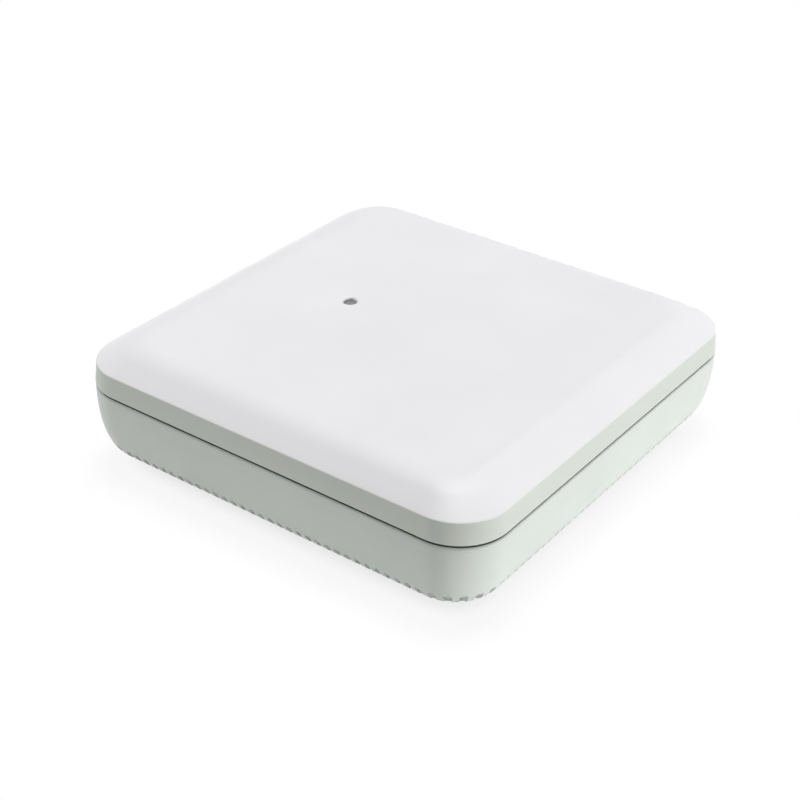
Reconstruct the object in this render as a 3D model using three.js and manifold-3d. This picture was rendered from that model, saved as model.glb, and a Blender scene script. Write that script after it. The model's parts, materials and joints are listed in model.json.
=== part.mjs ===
// Ceiling access point: a ribbed cast base and a moulded cover, closed round a radio board.
// Millimetres, +Z up. The origin is under the middle of the body, on the plane that its four posts stand on.
import * as THREE from "three";
import { mergeVertices } from "three/addons/utils/BufferGeometryUtils.js";
import Module from "manifold-3d";

const wasm = await Module();
wasm.setup();

// Body
const bodyWidth = 220; // X
const bodyLength = 220.5; // Y
const postReach = 6; // from the floor up to the rib tips
const baseHeight = 37; // from the rib tips up to the parting line
const bandHeight = 10.8; // from the parting line up to the cover's crease
const domeHeight = 8.7; // from the crease up to the flat top
const partingGap = 0.8; // the dark line between base and cover
const partingRadius = 24.4; // corner radius at the parting line

// Clearances shared by all pieces
const seatGap = 0.3; // between a piece and what it rests on
const slipGap = 0.25; // round a piece that passes through a hole
const overrun = 1; // how far a cutter runs past the face that it cuts

// Roundness
const cornerSteps = 6; // facets in each corner of the housing
const wallSteps = 7; // facets up the side of the base
const domeSteps = 4; // facets in the bend at the edge of the top
const holeSides = 16;
const shankSides = 8;
const ventSides = 6;
const notchSteps = 4;

const base = {
  inset: 11, // how far the sides draw in from the parting line to the rib tips
  cornerRadius: 17.5, // at the rib tips
  wall: 2.7,
  floor: 2.5,
  ribHeight: 2.5,
  ribPitch: 5.3,
  slotWidth: 2.6,
  cornerSlots: 4,
  cornerSlotWidth: 3.4, // at the rib tips' edge, and narrowing towards the hub
  hubRadius: 7, // solid metal left round each screw hole
};

const tongueHeight = 3; // stands on the base's rim, inside the cover's lip

const cover = {
  wall: 2.4,
  lip: 1.3, // what is left of the wall outside the rebate
  rebateSlack: 0.6,
  creaseInset: 1,
  chamferWidth: 8,
  chamferAngle: 33, // degrees below the flat top
  radiusShare: 0.55, // how fast the corner radius shrinks as the dome draws in
  bossRadius: 4.2,
};

const bay = {
  width: 124,
  depth: 50, // from the rear face in to the wall that the sockets look out of
  height: 27, // from the rib tips up to the roof
  wall: 2.2,
  notchWidth: 92, // cable outlet through the rear wall
  notchHeight: 13,
  notchCorner: 5,
};

const board = {
  margin: 12, // from the housing's outline in to its side and front edges
  thickness: 1.6,
  rise: 4.5, // from the floor up to its underside
  rearGap: 0.8,
  columnGap: 1.6, // between its cut corners and the screw columns
};

const spacer = {
  flats: 5.5,
  height: 22.3,
  studRadius: 1.45,
  studLength: 3.6,
  boreDepth: 7,
  padRadius: 4.6,
  sideInset: 13.7, // from the board's side edge in to its axis
  rearInset: 13,
  cornerInset: 7.5, // from the board's cut corner
};

const antennaPlate = { margin: 12, thickness: 1.2, columnGap: 2.4 };

const screw = {
  radius: 1.45,
  headRadius: 2.8,
  crownRadius: 2.2,
  headHeight: 2,
  socketRadius: 1.3,
  socketDepth: 1.2,
};
const plateScrewLength = 6;
const coverScrew = {
  length: 13,
  columnRadius: 5.6,
  seatThickness: 4,
  gussetThickness: 2.4,
  gussetDrop: 7,
};

const post = {
  spacing: 104, // of the ceiling bracket's slots, both ways
  bayGap: 12, // from the bay's wall to the rear pair
  headRadius: 5,
  headHeight: 2.4,
  neckRadius: 3,
  shankRadius: 2,
  shankLength: 6,
  padRadius: 7,
  bossRadius: 5,
  bossWall: 1, // metal left above the end of the hole
  chamfer: 0.6,
};

const chip = { thickness: 1.5, processorSide: 23, radioSide: 14, padThickness: 0.9, pedestalMargin: 1.5 };
const processorShares = [0.02, 0.1];
const radioGap = 1.9; // from the posts' bosses to the radio chips beside them
const memory = { width: 13, length: 9, thickness: 1.2 };
const memoryShares = [0.02, -0.18];
const flash = { width: 8, length: 6, thickness: 1 };
const flashShares = [0.26, 0.12];

const shield = {
  width: 46,
  length: 34,
  height: 3.4,
  wall: 0.4,
  sideGap: 7, // to the spacer beside it
  ventRadius: 1.2,
  ventPitch: 7,
  ventRows: 3,
  ventColumns: 4,
};
const shieldShare = -0.45; // of the board's half length

const transformer = { side: 18, height: 12, coreLength: 13, lip: 1.6 };
const powerInset = 26; // from the board's left edge in to the row of power parts
const transformerShare = 0.36;
const inductor = { side: 12, height: 6, corner: 2.4, dimple: 0.8 };
const inductorShare = 0.04;
const capacitor = { radius: 5, height: 12.5, grooveZ: 2, grooveDepth: 0.5, grooveHeight: 1 };
const capacitorShare = 0.66;
const magnetics = { width: 15, length: 12, height: 5.8, jackGap: 8.8 };

const jack = {
  width: 16,
  height: 13.4,
  depth: 18,
  mouthWidth: 11.9,
  mouthHeight: 7,
  mouthDepth: 13,
  latchWidth: 6.3,
  latchHeight: 1.7,
  tabWidth: 3.4,
  tabHeight: 1.5,
  mouthRise: 4.9, // from the jack's underside to the mouth's lower edge
  proud: 0.3, // how far it stands out of the wall
};
const jackPitch = 20;

const dcJack = {
  width: 9,
  height: 11,
  depth: 14,
  boreRadius: 3.15,
  boreDepth: 9.5,
  pinRadius: 1.05,
  boreRise: 6.2,
};

const usb = {
  width: 13.2,
  height: 5.8,
  depth: 14,
  skin: 0.4,
  mouthDepth: 10.5,
  bladeWidth: 10.8,
  bladeHeight: 1.9,
  bladeDepth: 8.8,
  rise: 1.4,
  recess: 0.9, // how far the mouth stays behind the wall's outer face
};
const usbShare = 0.12; // of the board's half length, along the left edge

const lock = { width: 7, height: 3, rise: 18, placeY: -42 }; // cable lock slot in the left wall

const mode = {
  capRadius: 2,
  proud: 0.8,
  travel: 0.5,
  flangeRadius: 3.1,
  flangeThickness: 1,
  tail: 1, // behind the flange
  rise: 6.5, // above the board
  switchWidth: 6.4,
  switchHeight: 9,
  switchDepth: 5,
  stemRadius: 1.4,
  stemLength: 3,
};
const modeGap = 18; // from the console socket's middle to the button

const led = {
  placeX: -36.7,
  side: 3.2,
  height: 1.5,
  windowRadius: 3.4,
  recess: 0.4,
  flangeRadius: 5,
  flangeThickness: 1.1,
  stemRadius: 2.3,
  plateHoleRadius: 4,
};

const dualAntenna = {
  width: 27,
  height: 12,
  depth: 11,
  sheet: 0.8,
  footDepth: 8,
  slotWidth: 3,
  slotShare: 0.62,
  roofSlotWidth: 11.5,
  tail: 5.2, // of the roof behind its slot
};
const dualScrewGap = 2.9; // from its foot to the plate screw beside it
const dualShare = 0.42; // of the plate's half length
const highAntenna = {
  width: 16,
  height: 9,
  depth: 8,
  sheet: 0.8,
  footDepth: 7,
  slotWidth: 2.4,
  slotShare: 0.55,
  roofSlotWidth: 6.4,
  tail: 4.2,
};
const highEdgeInset = 19.6; // from the plate's edge in to its riser

const lead = {
  radius: 0.7,
  sides: 8,
  steps: 12,
  lift: 0.8,
  bend: 8,
  apart: 4.8,
  plugRadius: 1.7,
  plugHeight: 1.8,
  pullShare: 0.4, // how firmly it keeps its direction at both ends, of its run over the plate
};
const leadHole = {
  radius: 8.5,
  placeShare: 0.53, // of the plate's half width
  shieldGap: 9, // from the shields to its middle
  rearInset: 27.8, // from the board's rear edge
};

// Heights that the pieces share
const ribTipZ = postReach;
const panelZ = ribTipZ + base.ribHeight;
const floorZ = panelZ + base.floor;
const partingZ = ribTipZ + baseHeight;
const rimZ = partingZ - partingGap / 2;
const coverLowZ = partingZ + partingGap / 2;
const creaseZ = partingZ + bandHeight;
const topZ = creaseZ + domeHeight;
const ceilingZ = topZ - cover.wall;
const boardLowZ = floorZ + board.rise;
const boardTopZ = boardLowZ + board.thickness;
const partZ = boardTopZ + seatGap; // where parts stand on the board
const spacerLowZ = boardTopZ + seatGap;
const plateLowZ = spacerLowZ + spacer.height + seatGap;
const plateTopZ = plateLowZ + antennaPlate.thickness;
const bayRoofZ = ribTipZ + bay.height;
const columnReach = (gap) => Math.SQRT2 * (coverScrew.columnRadius + gap);

// Places that the pieces share
const halfWidth = bodyWidth / 2;
const halfLength = bodyLength / 2;
const screwX = halfWidth - base.inset - base.cornerRadius;
const screwY = halfLength - base.inset - base.cornerRadius;
const tongueInset = cover.lip + slipGap;
const bayFaceY = halfLength - bay.depth;
const bayBackY = bayFaceY - bay.wall;
const boardX = halfWidth - board.margin;
const boardFrontY = -halfLength + board.margin;
const boardRearY = bayBackY - board.rearGap;
const boardCentreY = (boardFrontY + boardRearY) / 2;
const boardCut = boardX - screwX - boardFrontY - screwY + columnReach(board.columnGap);
const plateX = halfWidth - antennaPlate.margin;
const plateY = halfLength - antennaPlate.margin;
const plateCut = plateX - screwX + plateY - screwY + columnReach(antennaPlate.columnGap);
const postX = post.spacing / 2;
const postRearY = bayBackY - post.bayGap;
const postFrontY = postRearY - post.spacing;
const spacerX = boardX - spacer.sideInset;
const spacerFrontY = boardFrontY + boardCut + spacer.cornerInset;
const spacerRearY = boardRearY - spacer.rearInset;
const corners = [
  [-1, -1],
  [1, -1],
  [1, 1],
  [-1, 1],
];
const postPlaces = corners.map(([sx, sy]) => [sx * postX, sy > 0 ? postRearY : postFrontY]);
const screwPlaces = corners.map(([sx, sy]) => [sx * screwX, sy * screwY]);
const spacerPlaces = corners.map(([sx, sy]) => [sx * spacerX, sy > 0 ? spacerRearY : spacerFrontY]);
const onBoard = ([xShare, yShare]) => [
  xShare * boardX,
  boardCentreY + (yShare * (boardRearY - boardFrontY)) / 2,
];
const shieldX = spacerX - spacer.flats / 2 - shield.sideGap - shield.width / 2;
const shieldY = onBoard([0, shieldShare])[1];
const radioX = postX - post.bossRadius - radioGap - chip.radioSide / 2;
const powerX = powerInset - boardX;
const jackX = { dc: -1.9 * jackPitch, poe: -0.9 * jackPitch, aux: 0.1 * jackPitch, console: 1.1 * jackPitch };
const modeX = jackX.console + modeGap;
const modeZ = boardTopZ + mode.rise;
const modeFlangeY = bayBackY - seatGap - mode.flangeThickness;
const modeBackY = modeFlangeY - mode.tail;
const usbY = onBoard([0, usbShare])[1];
const magneticsY = bayFaceY + jack.proud - jack.depth - magnetics.jackGap - magnetics.length / 2;
const leadHoleX = leadHole.placeShare * plateX;
const leadHoleFrontY = shieldY + shield.length / 2 + leadHole.shieldGap;
const leadHoleRearY = boardRearY - leadHole.rearInset;
const leadHolePlaces = corners.map(([sx, sy]) => [sx * leadHoleX, sy > 0 ? leadHoleRearY : leadHoleFrontY]);

// Materials
const finish = (color, roughness, metalness = 0) =>
  new THREE.MeshStandardMaterial({ color, roughness, metalness });
const finishes = {
  coverPlastic: finish(0xe6e7e8, 0.55),
  basePaint: finish(0xd6dbd6, 0.6),
  lightPipe: finish(0x8d9392, 0.25),
  boardGreen: finish(0x1f5a3c, 0.5),
  chipBlack: finish(0x1b1c1e, 0.45),
  tin: finish(0xb9bcc0, 0.35, 1),
  steel: finish(0x9c9fa3, 0.35, 1),
  brass: finish(0xc9a456, 0.4, 1),
  aluminium: finish(0xc6c9cc, 0.45, 1),
  gapPad: finish(0x7f8fa8, 0.85),
  ferrite: finish(0x2d2e31, 0.7),
  blackPlastic: finish(0x151617, 0.5),
  leadJacket: finish(0x2a2b2d, 0.6),
  ledPackage: finish(0xf2f0df, 0.4),
};

// A geometry as a solid that can be joined and cut.
function solidOf(geometry) {
  const bare = new THREE.BufferGeometry();
  bare.setAttribute("position", geometry.getAttribute("position"));
  if (geometry.index) bare.setIndex(geometry.index);
  const merged = mergeVertices(bare);
  const vertProperties = new Float32Array(merged.getAttribute("position").array);
  const triVerts = new Uint32Array(merged.index.array);
  return new wasm.Manifold(new wasm.Mesh({ numProp: 3, vertProperties, triVerts }));
}

function geometryOf(solid) {
  const { vertProperties, triVerts } = solid.getMesh();
  const geometry = new THREE.BufferGeometry();
  geometry.setAttribute("position", new THREE.BufferAttribute(vertProperties, 3));
  geometry.setIndex(new THREE.BufferAttribute(triVerts, 1));
  const flat = geometry.toNonIndexed();
  flat.computeVertexNormals();
  return flat;
}

const fuse = (solids) => solids.reduce((whole, solid) => whole.add(solid));
const cut = (solid, cutters) => (cutters.length ? solid.subtract(fuse(cutters)) : solid);

// A named piece made of one solid.
function piece(name, solid, material) {
  const mesh = new THREE.Mesh(geometryOf(solid), material);
  mesh.name = name;
  return mesh;
}

// A block with its middle at x and y, standing on z.
function block(width, length, height, x, y, z) {
  const geometry = new THREE.BoxGeometry(width, length, height);
  return solidOf(geometry.translate(x, y, z + height / 2));
}

// An upright cylinder, or a cone where topRadius differs.
function drum(radius, height, x, y, z, sides = holeSides, topRadius = radius) {
  const geometry = new THREE.CylinderGeometry(topRadius, radius, height, sides).rotateX(Math.PI / 2);
  return solidOf(geometry.translate(x, y, z + height / 2));
}

// A cylinder that lies along Y, from y to y + length.
function barrel(radius, length, x, y, z, sides = holeSides) {
  const geometry = new THREE.CylinderGeometry(radius, radius, length, sides);
  return solidOf(geometry.translate(x, y + length / 2, z));
}

// A shape drawn in X and Y, extruded upwards from z.
function slab(shape, height, z) {
  const geometry = new THREE.ExtrudeGeometry(shape, { depth: height, bevelEnabled: false, curveSegments: 6 });
  return solidOf(geometry.translate(0, 0, z));
}

const polygon = (points) => new THREE.Shape(points.map(([x, y]) => new THREE.Vector2(x, y)));

// A rectangle with its corners cut off at 45 degrees, by one size at the front and another at the rear.
function cutShape(x, low, high, frontCut, rearCut) {
  return polygon([
    [-x + frontCut, low],
    [x - frontCut, low],
    [x, low + frontCut],
    [x, high - rearCut],
    [x - rearCut, high],
    [-x + rearCut, high],
    [-x, high - rearCut],
    [-x, low + frontCut],
  ]);
}

// One level of the housing: a rectangle with round corners, drawn in by inset.
function level(inset, radius, z) {
  const across = halfWidth - inset - radius;
  const along = halfLength - inset - radius;
  const points = [];
  corners.forEach(([sx, sy], corner) => {
    const start = Math.PI + (corner * Math.PI) / 2;
    for (let step = 0; step <= cornerSteps; step += 1) {
      const angle = start + (step * Math.PI) / 2 / cornerSteps;
      const x = sx * across + radius * Math.cos(angle);
      const y = sy * along + radius * Math.sin(angle);
      points.push(new THREE.Vector3(x, y, z));
    }
  });
  return points;
}

// A solid through a stack of levels, lowest first, closed flat at both ends.
function loft(levels) {
  const count = levels[0].length;
  const positions = [];
  const triangle = (a, b, c) => positions.push(...a.toArray(), ...b.toArray(), ...c.toArray());
  const middle = (ring) => new THREE.Vector3(0, 0, ring[0].z);
  for (let i = 0; i < count; i += 1) {
    const next = (i + 1) % count;
    levels.slice(1).forEach((upper, below) => {
      const lower = levels[below];
      triangle(lower[i], lower[next], upper[next]);
      triangle(lower[i], upper[next], upper[i]);
    });
    const bottom = levels[0];
    const top = levels[levels.length - 1];
    triangle(bottom[next], bottom[i], middle(bottom));
    triangle(top[i], top[next], middle(top));
  }
  const geometry = new THREE.BufferGeometry();
  geometry.setAttribute("position", new THREE.Float32BufferAttribute(positions, 3));
  return solidOf(geometry);
}

// The base's side is a quarter ellipse: upright at the rim, and turned under at the rib tips.
function baseLevel(turn, offset) {
  const inset = base.inset * (1 - Math.cos(turn));
  const radius = THREE.MathUtils.lerp(partingRadius, base.cornerRadius, inset / base.inset);
  const z = rimZ - (rimZ - ribTipZ) * Math.sin(turn);
  return level(inset + offset, radius - offset, z);
}

function baseLevels(fromTurn, offset) {
  const steps = Array.from({ length: wallSteps + 1 }, (_, step) => 1 - step / wallSteps);
  return steps.map((share) => baseLevel(fromTurn * share, offset));
}

function lift(ring, z) {
  return ring.map((point) => new THREE.Vector3(point.x, point.y, z));
}

// The hollow inside the base's walls, down to lowZ and open upwards.
function hollow(lowZ) {
  const turn = Math.asin(Math.min(1, (rimZ - lowZ) / (rimZ - ribTipZ)));
  const levels = baseLevels(turn, base.wall);
  const openTop = lift(levels[levels.length - 1], rimZ + tongueHeight + overrun);
  const openBottom = lowZ < ribTipZ ? [lift(levels[0], lowZ)] : [];
  return loft([...openBottom, ...levels, openTop]);
}

// Slots between the ribs, square to each side and fanned round the hub in each corner.
function ribSlots() {
  const slots = [];
  const height = base.ribHeight + overrun;
  const z = ribTipZ - overrun;
  const reach = base.inset + base.cornerRadius;
  const sides = [
    { half: halfLength, run: screwX, turn: 0 },
    { half: halfWidth, run: screwY, turn: Math.PI / 2 },
    { half: halfLength, run: screwX, turn: Math.PI },
    { half: halfWidth, run: screwY, turn: -Math.PI / 2 },
  ];
  sides.forEach(({ half, run, turn }) => {
    const each = Math.floor(run / base.ribPitch);
    for (let i = -each; i <= each; i += 1) {
      const geometry = new THREE.BoxGeometry(base.slotWidth, reach + overrun, height);
      geometry.translate(i * base.ribPitch, (reach + overrun) / 2 - half, z + height / 2).rotateZ(turn);
      slots.push(solidOf(geometry));
    }
  });
  const flare = (base.cornerSlotWidth * reach) / base.cornerRadius;
  const wedge = polygon([
    [0, 0],
    [reach, -flare / 2],
    [reach, flare / 2],
  ]);
  screwPlaces.forEach(([x, y], corner) => {
    for (let i = 0; i < base.cornerSlots; i += 1) {
      const angle = Math.PI + ((corner + (i + 0.5) / base.cornerSlots) * Math.PI) / 2;
      const geometry = new THREE.ExtrudeGeometry(wedge, { depth: height, bevelEnabled: false });
      slots.push(solidOf(geometry.rotateZ(angle).translate(x, y, z)));
    }
  });
  const hubs = screwPlaces.map(([x, y]) => drum(base.hubRadius, height, x, y, z));
  return cut(fuse(slots), hubs);
}

// The flat panel that the ribs and hubs stand round, with a pad left for each post.
function panelCut() {
  const height = base.ribHeight + overrun;
  const z = ribTipZ - overrun;
  const left = [
    ...postPlaces.map(([x, y]) => drum(post.padRadius, height, x, y, z)),
    ...screwPlaces.map(([x, y]) => drum(base.hubRadius, height, x, y, z)),
  ];
  return cut(block(2 * screwX, 2 * screwY, height, 0, 0, z), left);
}

// Metal that stands on the base's floor.
function baseInside() {
  const columnHeight = rimZ - floorZ;
  const reach = partingRadius + base.cornerRadius;
  const gussetHeight = columnHeight - coverScrew.gussetDrop;
  const columns = screwPlaces.map(([x, y]) => drum(coverScrew.columnRadius, columnHeight, x, y, floorZ));
  const gussets = screwPlaces.map(([x, y], corner) => {
    const geometry = new THREE.BoxGeometry(reach, coverScrew.gussetThickness, gussetHeight);
    const angle = Math.PI + ((corner + 0.5) * Math.PI) / 2;
    geometry.translate(reach / 2, 0, floorZ + gussetHeight / 2).rotateZ(angle);
    return solidOf(geometry.translate(x, y, 0));
  });
  const spacerPads = spacerPlaces.map(([x, y]) => drum(spacer.padRadius, board.rise - seatGap, x, y, floorZ));
  const bossHeight = ribTipZ + post.shankLength + seatGap + post.bossWall - floorZ;
  const postBosses = postPlaces.map(([x, y]) => drum(post.bossRadius, bossHeight, x, y, floorZ));
  const bayWidth = bay.width + 2 * bay.wall;
  const bayHeight = bayRoofZ + bay.wall - ribTipZ;
  const bayBlock = block(bayWidth, halfLength, bayHeight, 0, bayBackY + halfLength / 2, ribTipZ);
  return [...columns, ...gussets, ...spacerPads, ...postBosses, ...pedestals(), bayBlock];
}

// Raised pads under the hot chips.
function pedestals() {
  const height = board.rise - chip.thickness - chip.padThickness - 3 * seatGap;
  return hotChips().map(({ side, place: [x, y] }) => {
    const width = side + 2 * chip.pedestalMargin;
    return block(width, width, height, x, y, floorZ);
  });
}

function hotChips() {
  return [
    { name: "processor", side: chip.processorSide, place: onBoard(processorShares) },
    { name: "left_radio", side: chip.radioSide, place: [-radioX, shieldY] },
    { name: "right_radio", side: chip.radioSide, place: [radioX, shieldY] },
  ];
}

// The bay that the cables plug into, open downwards, with an outlet through the rear wall.
function bayCuts() {
  const low = ribTipZ - overrun;
  const space = block(bay.width, halfLength, bayRoofZ - low, 0, bayFaceY + halfLength / 2, low);
  const x = bay.notchWidth / 2;
  const y = bay.notchHeight;
  const c = bay.notchCorner;
  const outline = new THREE.Shape();
  outline.moveTo(-x, -overrun);
  outline.lineTo(x, -overrun);
  outline.lineTo(x, y - c);
  outline.absarc(x - c, y - c, c, 0, Math.PI / 2, false);
  outline.lineTo(-x + c, y);
  outline.absarc(-x + c, y - c, c, Math.PI / 2, Math.PI, false);
  const depth = base.inset + base.wall + overrun;
  const notch = new THREE.ExtrudeGeometry(outline, { depth, bevelEnabled: false, curveSegments: notchSteps });
  notch.rotateX(Math.PI / 2).translate(0, halfLength + overrun, ribTipZ);
  return [space.intersect(hollow(low)), solidOf(notch)];
}

// A rectangular window through the wall behind the sockets.
function socketWindow(width, height, x) {
  const depth = bay.wall + 2 * overrun;
  return block(width + 2 * slipGap, depth, height + 2 * slipGap, x, bayFaceY - bay.wall / 2, partZ - slipGap);
}

function baseHoles() {
  const screwSeatZ = rimZ - coverScrew.seatThickness;
  const holes = [
    socketWindow(dcJack.width, dcJack.height, jackX.dc),
    socketWindow(jack.width, jack.height, jackX.poe),
    socketWindow(jack.width, jack.height, jackX.aux),
    socketWindow(jack.width, jack.height, jackX.console),
    barrel(mode.capRadius + slipGap, bay.wall + 2 * overrun, modeX, bayBackY - overrun, modeZ),
  ];
  screwPlaces.forEach(([x, y]) => {
    const shankHeight = coverScrew.seatThickness + 2 * overrun;
    holes.push(drum(screw.headRadius + slipGap, screwSeatZ - ribTipZ + overrun, x, y, ribTipZ - overrun));
    holes.push(drum(screw.radius + slipGap, shankHeight, x, y, screwSeatZ - overrun, shankSides));
  });
  spacerPlaces.forEach(([x, y]) => {
    const depth = spacer.studLength - board.thickness;
    const z = boardLowZ - seatGap - depth;
    holes.push(drum(spacer.studRadius + slipGap, depth + overrun, x, y, z, shankSides));
  });
  postPlaces.forEach(([x, y]) => {
    const depth = post.shankLength + seatGap;
    holes.push(drum(post.shankRadius + slipGap, depth + overrun, x, y, ribTipZ - overrun, shankSides));
  });
  const throughWall = base.wall + base.inset;
  const wallX = -halfWidth + throughWall / 2;
  const usbLowZ = partZ + usb.rise - slipGap;
  holes.push(block(throughWall, usb.width + 2 * slipGap, usb.height + 2 * slipGap, wallX, usbY, usbLowZ));
  holes.push(block(throughWall, lock.width, lock.height, wallX, lock.placeY, ribTipZ + lock.rise));
  return holes;
}

function makeBase() {
  const outer = loft(baseLevels(Math.PI / 2, 0));
  const rim = level(tongueInset, partingRadius - tongueInset, rimZ - overrun);
  const tongueBlock = loft([rim, lift(rim, rimZ + tongueHeight)]);
  const cavity = hollow(floorZ);
  const shell = cut(outer.add(tongueBlock), [cavity]);
  const core = loft(baseLevels(Math.PI / 2, base.wall / 2));
  const inside = fuse(baseInside()).intersect(core);
  const whole = shell.add(inside);
  return cut(whole, [panelCut(), ribSlots(), ...bayCuts(), ...baseHoles()]);
}

// The cover's outline from the parting line up to the flat top, or a parallel one inside it.
function coverLevels(offset, lowZ) {
  const slope = THREE.MathUtils.degToRad(cover.chamferAngle);
  const drop = cover.chamferWidth * Math.tan(slope);
  const bend = (domeHeight - drop) / (1 - Math.cos(slope));
  const flatInset = cover.creaseInset + cover.chamferWidth + bend * Math.sin(slope);
  const ring = (inset, z) => level(inset, partingRadius - cover.radiusShare * inset, z);
  const arc = Array.from({ length: domeSteps + 1 }, (_, step) => {
    const angle = slope * (1 - step / domeSteps);
    const radius = bend - offset;
    return [flatInset - radius * Math.sin(angle), topZ - bend + radius * Math.cos(angle)];
  });
  const [bendInset, bendZ] = arc[0];
  const creaseInset = cover.creaseInset + offset;
  const edgeZ = bendZ - (bendInset - creaseInset) * Math.tan(slope);
  return [ring(offset, lowZ), ring(creaseInset, edgeZ), ...arc.map(([inset, z]) => ring(inset, z))];
}

function makeCover() {
  const outer = loft(coverLevels(0, coverLowZ));
  const inner = loft(coverLevels(cover.wall, coverLowZ - overrun));
  const rebateTop = rimZ + tongueHeight + cover.rebateSlack;
  const rebateLow = level(cover.lip, partingRadius - cover.lip, coverLowZ - overrun);
  const rebate = loft([rebateLow, lift(rebateLow, rebateTop)]);
  const bossLowZ = rimZ + seatGap;
  const bossHeight = ceilingZ - bossLowZ + overrun;
  const bosses = screwPlaces.map(([x, y]) => drum(cover.bossRadius, bossHeight, x, y, bossLowZ));
  const holeDepth = coverScrew.length;
  const bossHoles = screwPlaces.map(([x, y]) =>
    drum(screw.radius + slipGap, holeDepth + overrun, x, y, bossLowZ - overrun, shankSides),
  );
  const collarRadius = led.flangeRadius + slipGap;
  const collarDepth = led.flangeThickness + seatGap;
  const collar = drum(collarRadius + cover.lip, collarDepth + overrun, led.placeX, 0, ceilingZ - collarDepth);
  const collarBore = drum(collarRadius, collarDepth, led.placeX, 0, ceilingZ - collarDepth);
  const window = drum(led.windowRadius + slipGap, cover.wall + 2 * overrun, led.placeX, 0, ceilingZ - overrun);
  const shell = cut(outer, [inner, rebate]);
  return cut(fuse([shell, ...bosses, collar]), [...bossHoles, collarBore, window]);
}

// The clear rod that carries the status light from the board to the window in the top.
function makeLightPipe() {
  const lowZ = partZ + led.height + seatGap;
  const flangeTop = ceilingZ - seatGap;
  const flangeLow = flangeTop - led.flangeThickness;
  const windowTop = topZ - led.recess;
  return fuse([
    drum(led.stemRadius, flangeLow - lowZ + overrun, led.placeX, 0, lowZ),
    drum(led.flangeRadius, led.flangeThickness, led.placeX, 0, flangeLow),
    drum(led.windowRadius, windowTop - flangeTop + led.flangeThickness, led.placeX, 0, flangeLow),
  ]);
}

function makeBoard() {
  const outline = cutShape(boardX, boardFrontY, boardRearY, boardCut, board.rearGap);
  const sheet = slab(outline, board.thickness, boardLowZ);
  const height = board.thickness + 2 * overrun;
  const holes = spacerPlaces.map(([x, y]) =>
    drum(spacer.studRadius + slipGap, height, x, y, boardLowZ - overrun, shankSides),
  );
  return cut(sheet, holes);
}

function makeAntennaPlate() {
  const sheet = slab(cutShape(plateX, -plateY, plateY, plateCut, plateCut), antennaPlate.thickness, plateLowZ);
  const height = antennaPlate.thickness + 2 * overrun;
  const hole = (radius, [x, y], sides) => drum(radius, height, x, y, plateLowZ - overrun, sides);
  return cut(sheet, [
    ...spacerPlaces.map((place) => hole(screw.radius + slipGap, place, shankSides)),
    ...leadHolePlaces.map((place) => hole(leadHole.radius, place, holeSides)),
    hole(led.plateHoleRadius, [led.placeX, 0], holeSides),
  ]);
}

// A hexagonal spacer: its stud goes through the board, and its bore takes the plate's screw.
function makeSpacer([x, y]) {
  const hex = drum(spacer.flats / Math.sqrt(3), spacer.height, x, y, spacerLowZ, 6);
  const studZ = spacerLowZ - spacer.studLength;
  const stud = drum(spacer.studRadius, spacer.studLength + overrun, x, y, studZ, shankSides);
  const boreZ = spacerLowZ + spacer.height - spacer.boreDepth;
  const bore = drum(screw.radius + slipGap, spacer.boreDepth + overrun, x, y, boreZ, shankSides);
  return cut(hex.add(stud), [bore]);
}

// A pan-head screw whose head stands on z, with its shank pointing down, or up where up is true.
function makeScrew([x, y], length, z, up) {
  const { radius, headRadius, crownRadius, headHeight, socketRadius, socketDepth } = screw;
  const shank = drum(radius, length + overrun, 0, 0, -length, shankSides);
  const head = drum(headRadius, headHeight, 0, 0, 0, holeSides, crownRadius);
  const socket = drum(socketRadius, socketDepth + overrun, 0, 0, headHeight - socketDepth, 6);
  const geometry = geometryOf(cut(head.add(shank), [socket]));
  if (up) geometry.rotateX(Math.PI);
  return solidOf(geometry.translate(x, y, z));
}

// A mounting post: a wide head on a neck, screwed into the base.
function makePost([x, y]) {
  const { headRadius, headHeight, neckRadius, shankRadius, shankLength, chamfer } = post;
  const profile = [
    [0, 0],
    [headRadius - chamfer, 0],
    [headRadius, chamfer],
    [headRadius, headHeight],
    [neckRadius, headHeight],
    [neckRadius, ribTipZ - seatGap],
    [shankRadius, ribTipZ - seatGap],
    [shankRadius, ribTipZ + shankLength - seatGap],
    [0, ribTipZ + shankLength - seatGap],
  ].map(([radius, z]) => new THREE.Vector2(radius, z));
  const geometry = new THREE.LatheGeometry(profile, holeSides).rotateX(Math.PI / 2);
  return solidOf(geometry.translate(x, y, 0));
}

// A network socket: a shell with a stepped mouth for the plug and its latch, facing +Y.
function makeNetworkJack(x) {
  const { width, height, depth, mouthWidth, mouthHeight, mouthDepth, mouthRise } = jack;
  const body = block(width, depth, height, 0, -depth / 2, 0);
  const mouth = polygon([
    [-mouthWidth / 2, mouthRise],
    [-jack.latchWidth / 2, mouthRise],
    [-jack.latchWidth / 2, mouthRise - jack.latchHeight],
    [-jack.tabWidth / 2, mouthRise - jack.latchHeight],
    [-jack.tabWidth / 2, mouthRise - jack.latchHeight - jack.tabHeight],
    [jack.tabWidth / 2, mouthRise - jack.latchHeight - jack.tabHeight],
    [jack.tabWidth / 2, mouthRise - jack.latchHeight],
    [jack.latchWidth / 2, mouthRise - jack.latchHeight],
    [jack.latchWidth / 2, mouthRise],
    [mouthWidth / 2, mouthRise],
    [mouthWidth / 2, mouthRise + mouthHeight],
    [-mouthWidth / 2, mouthRise + mouthHeight],
  ]);
  const cavity = new THREE.ExtrudeGeometry(mouth, { depth: mouthDepth + overrun, bevelEnabled: false });
  cavity.rotateX(Math.PI / 2).translate(0, overrun, 0);
  return cut(body, [solidOf(cavity)]).translate(x, bayFaceY + jack.proud, partZ);
}

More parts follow.
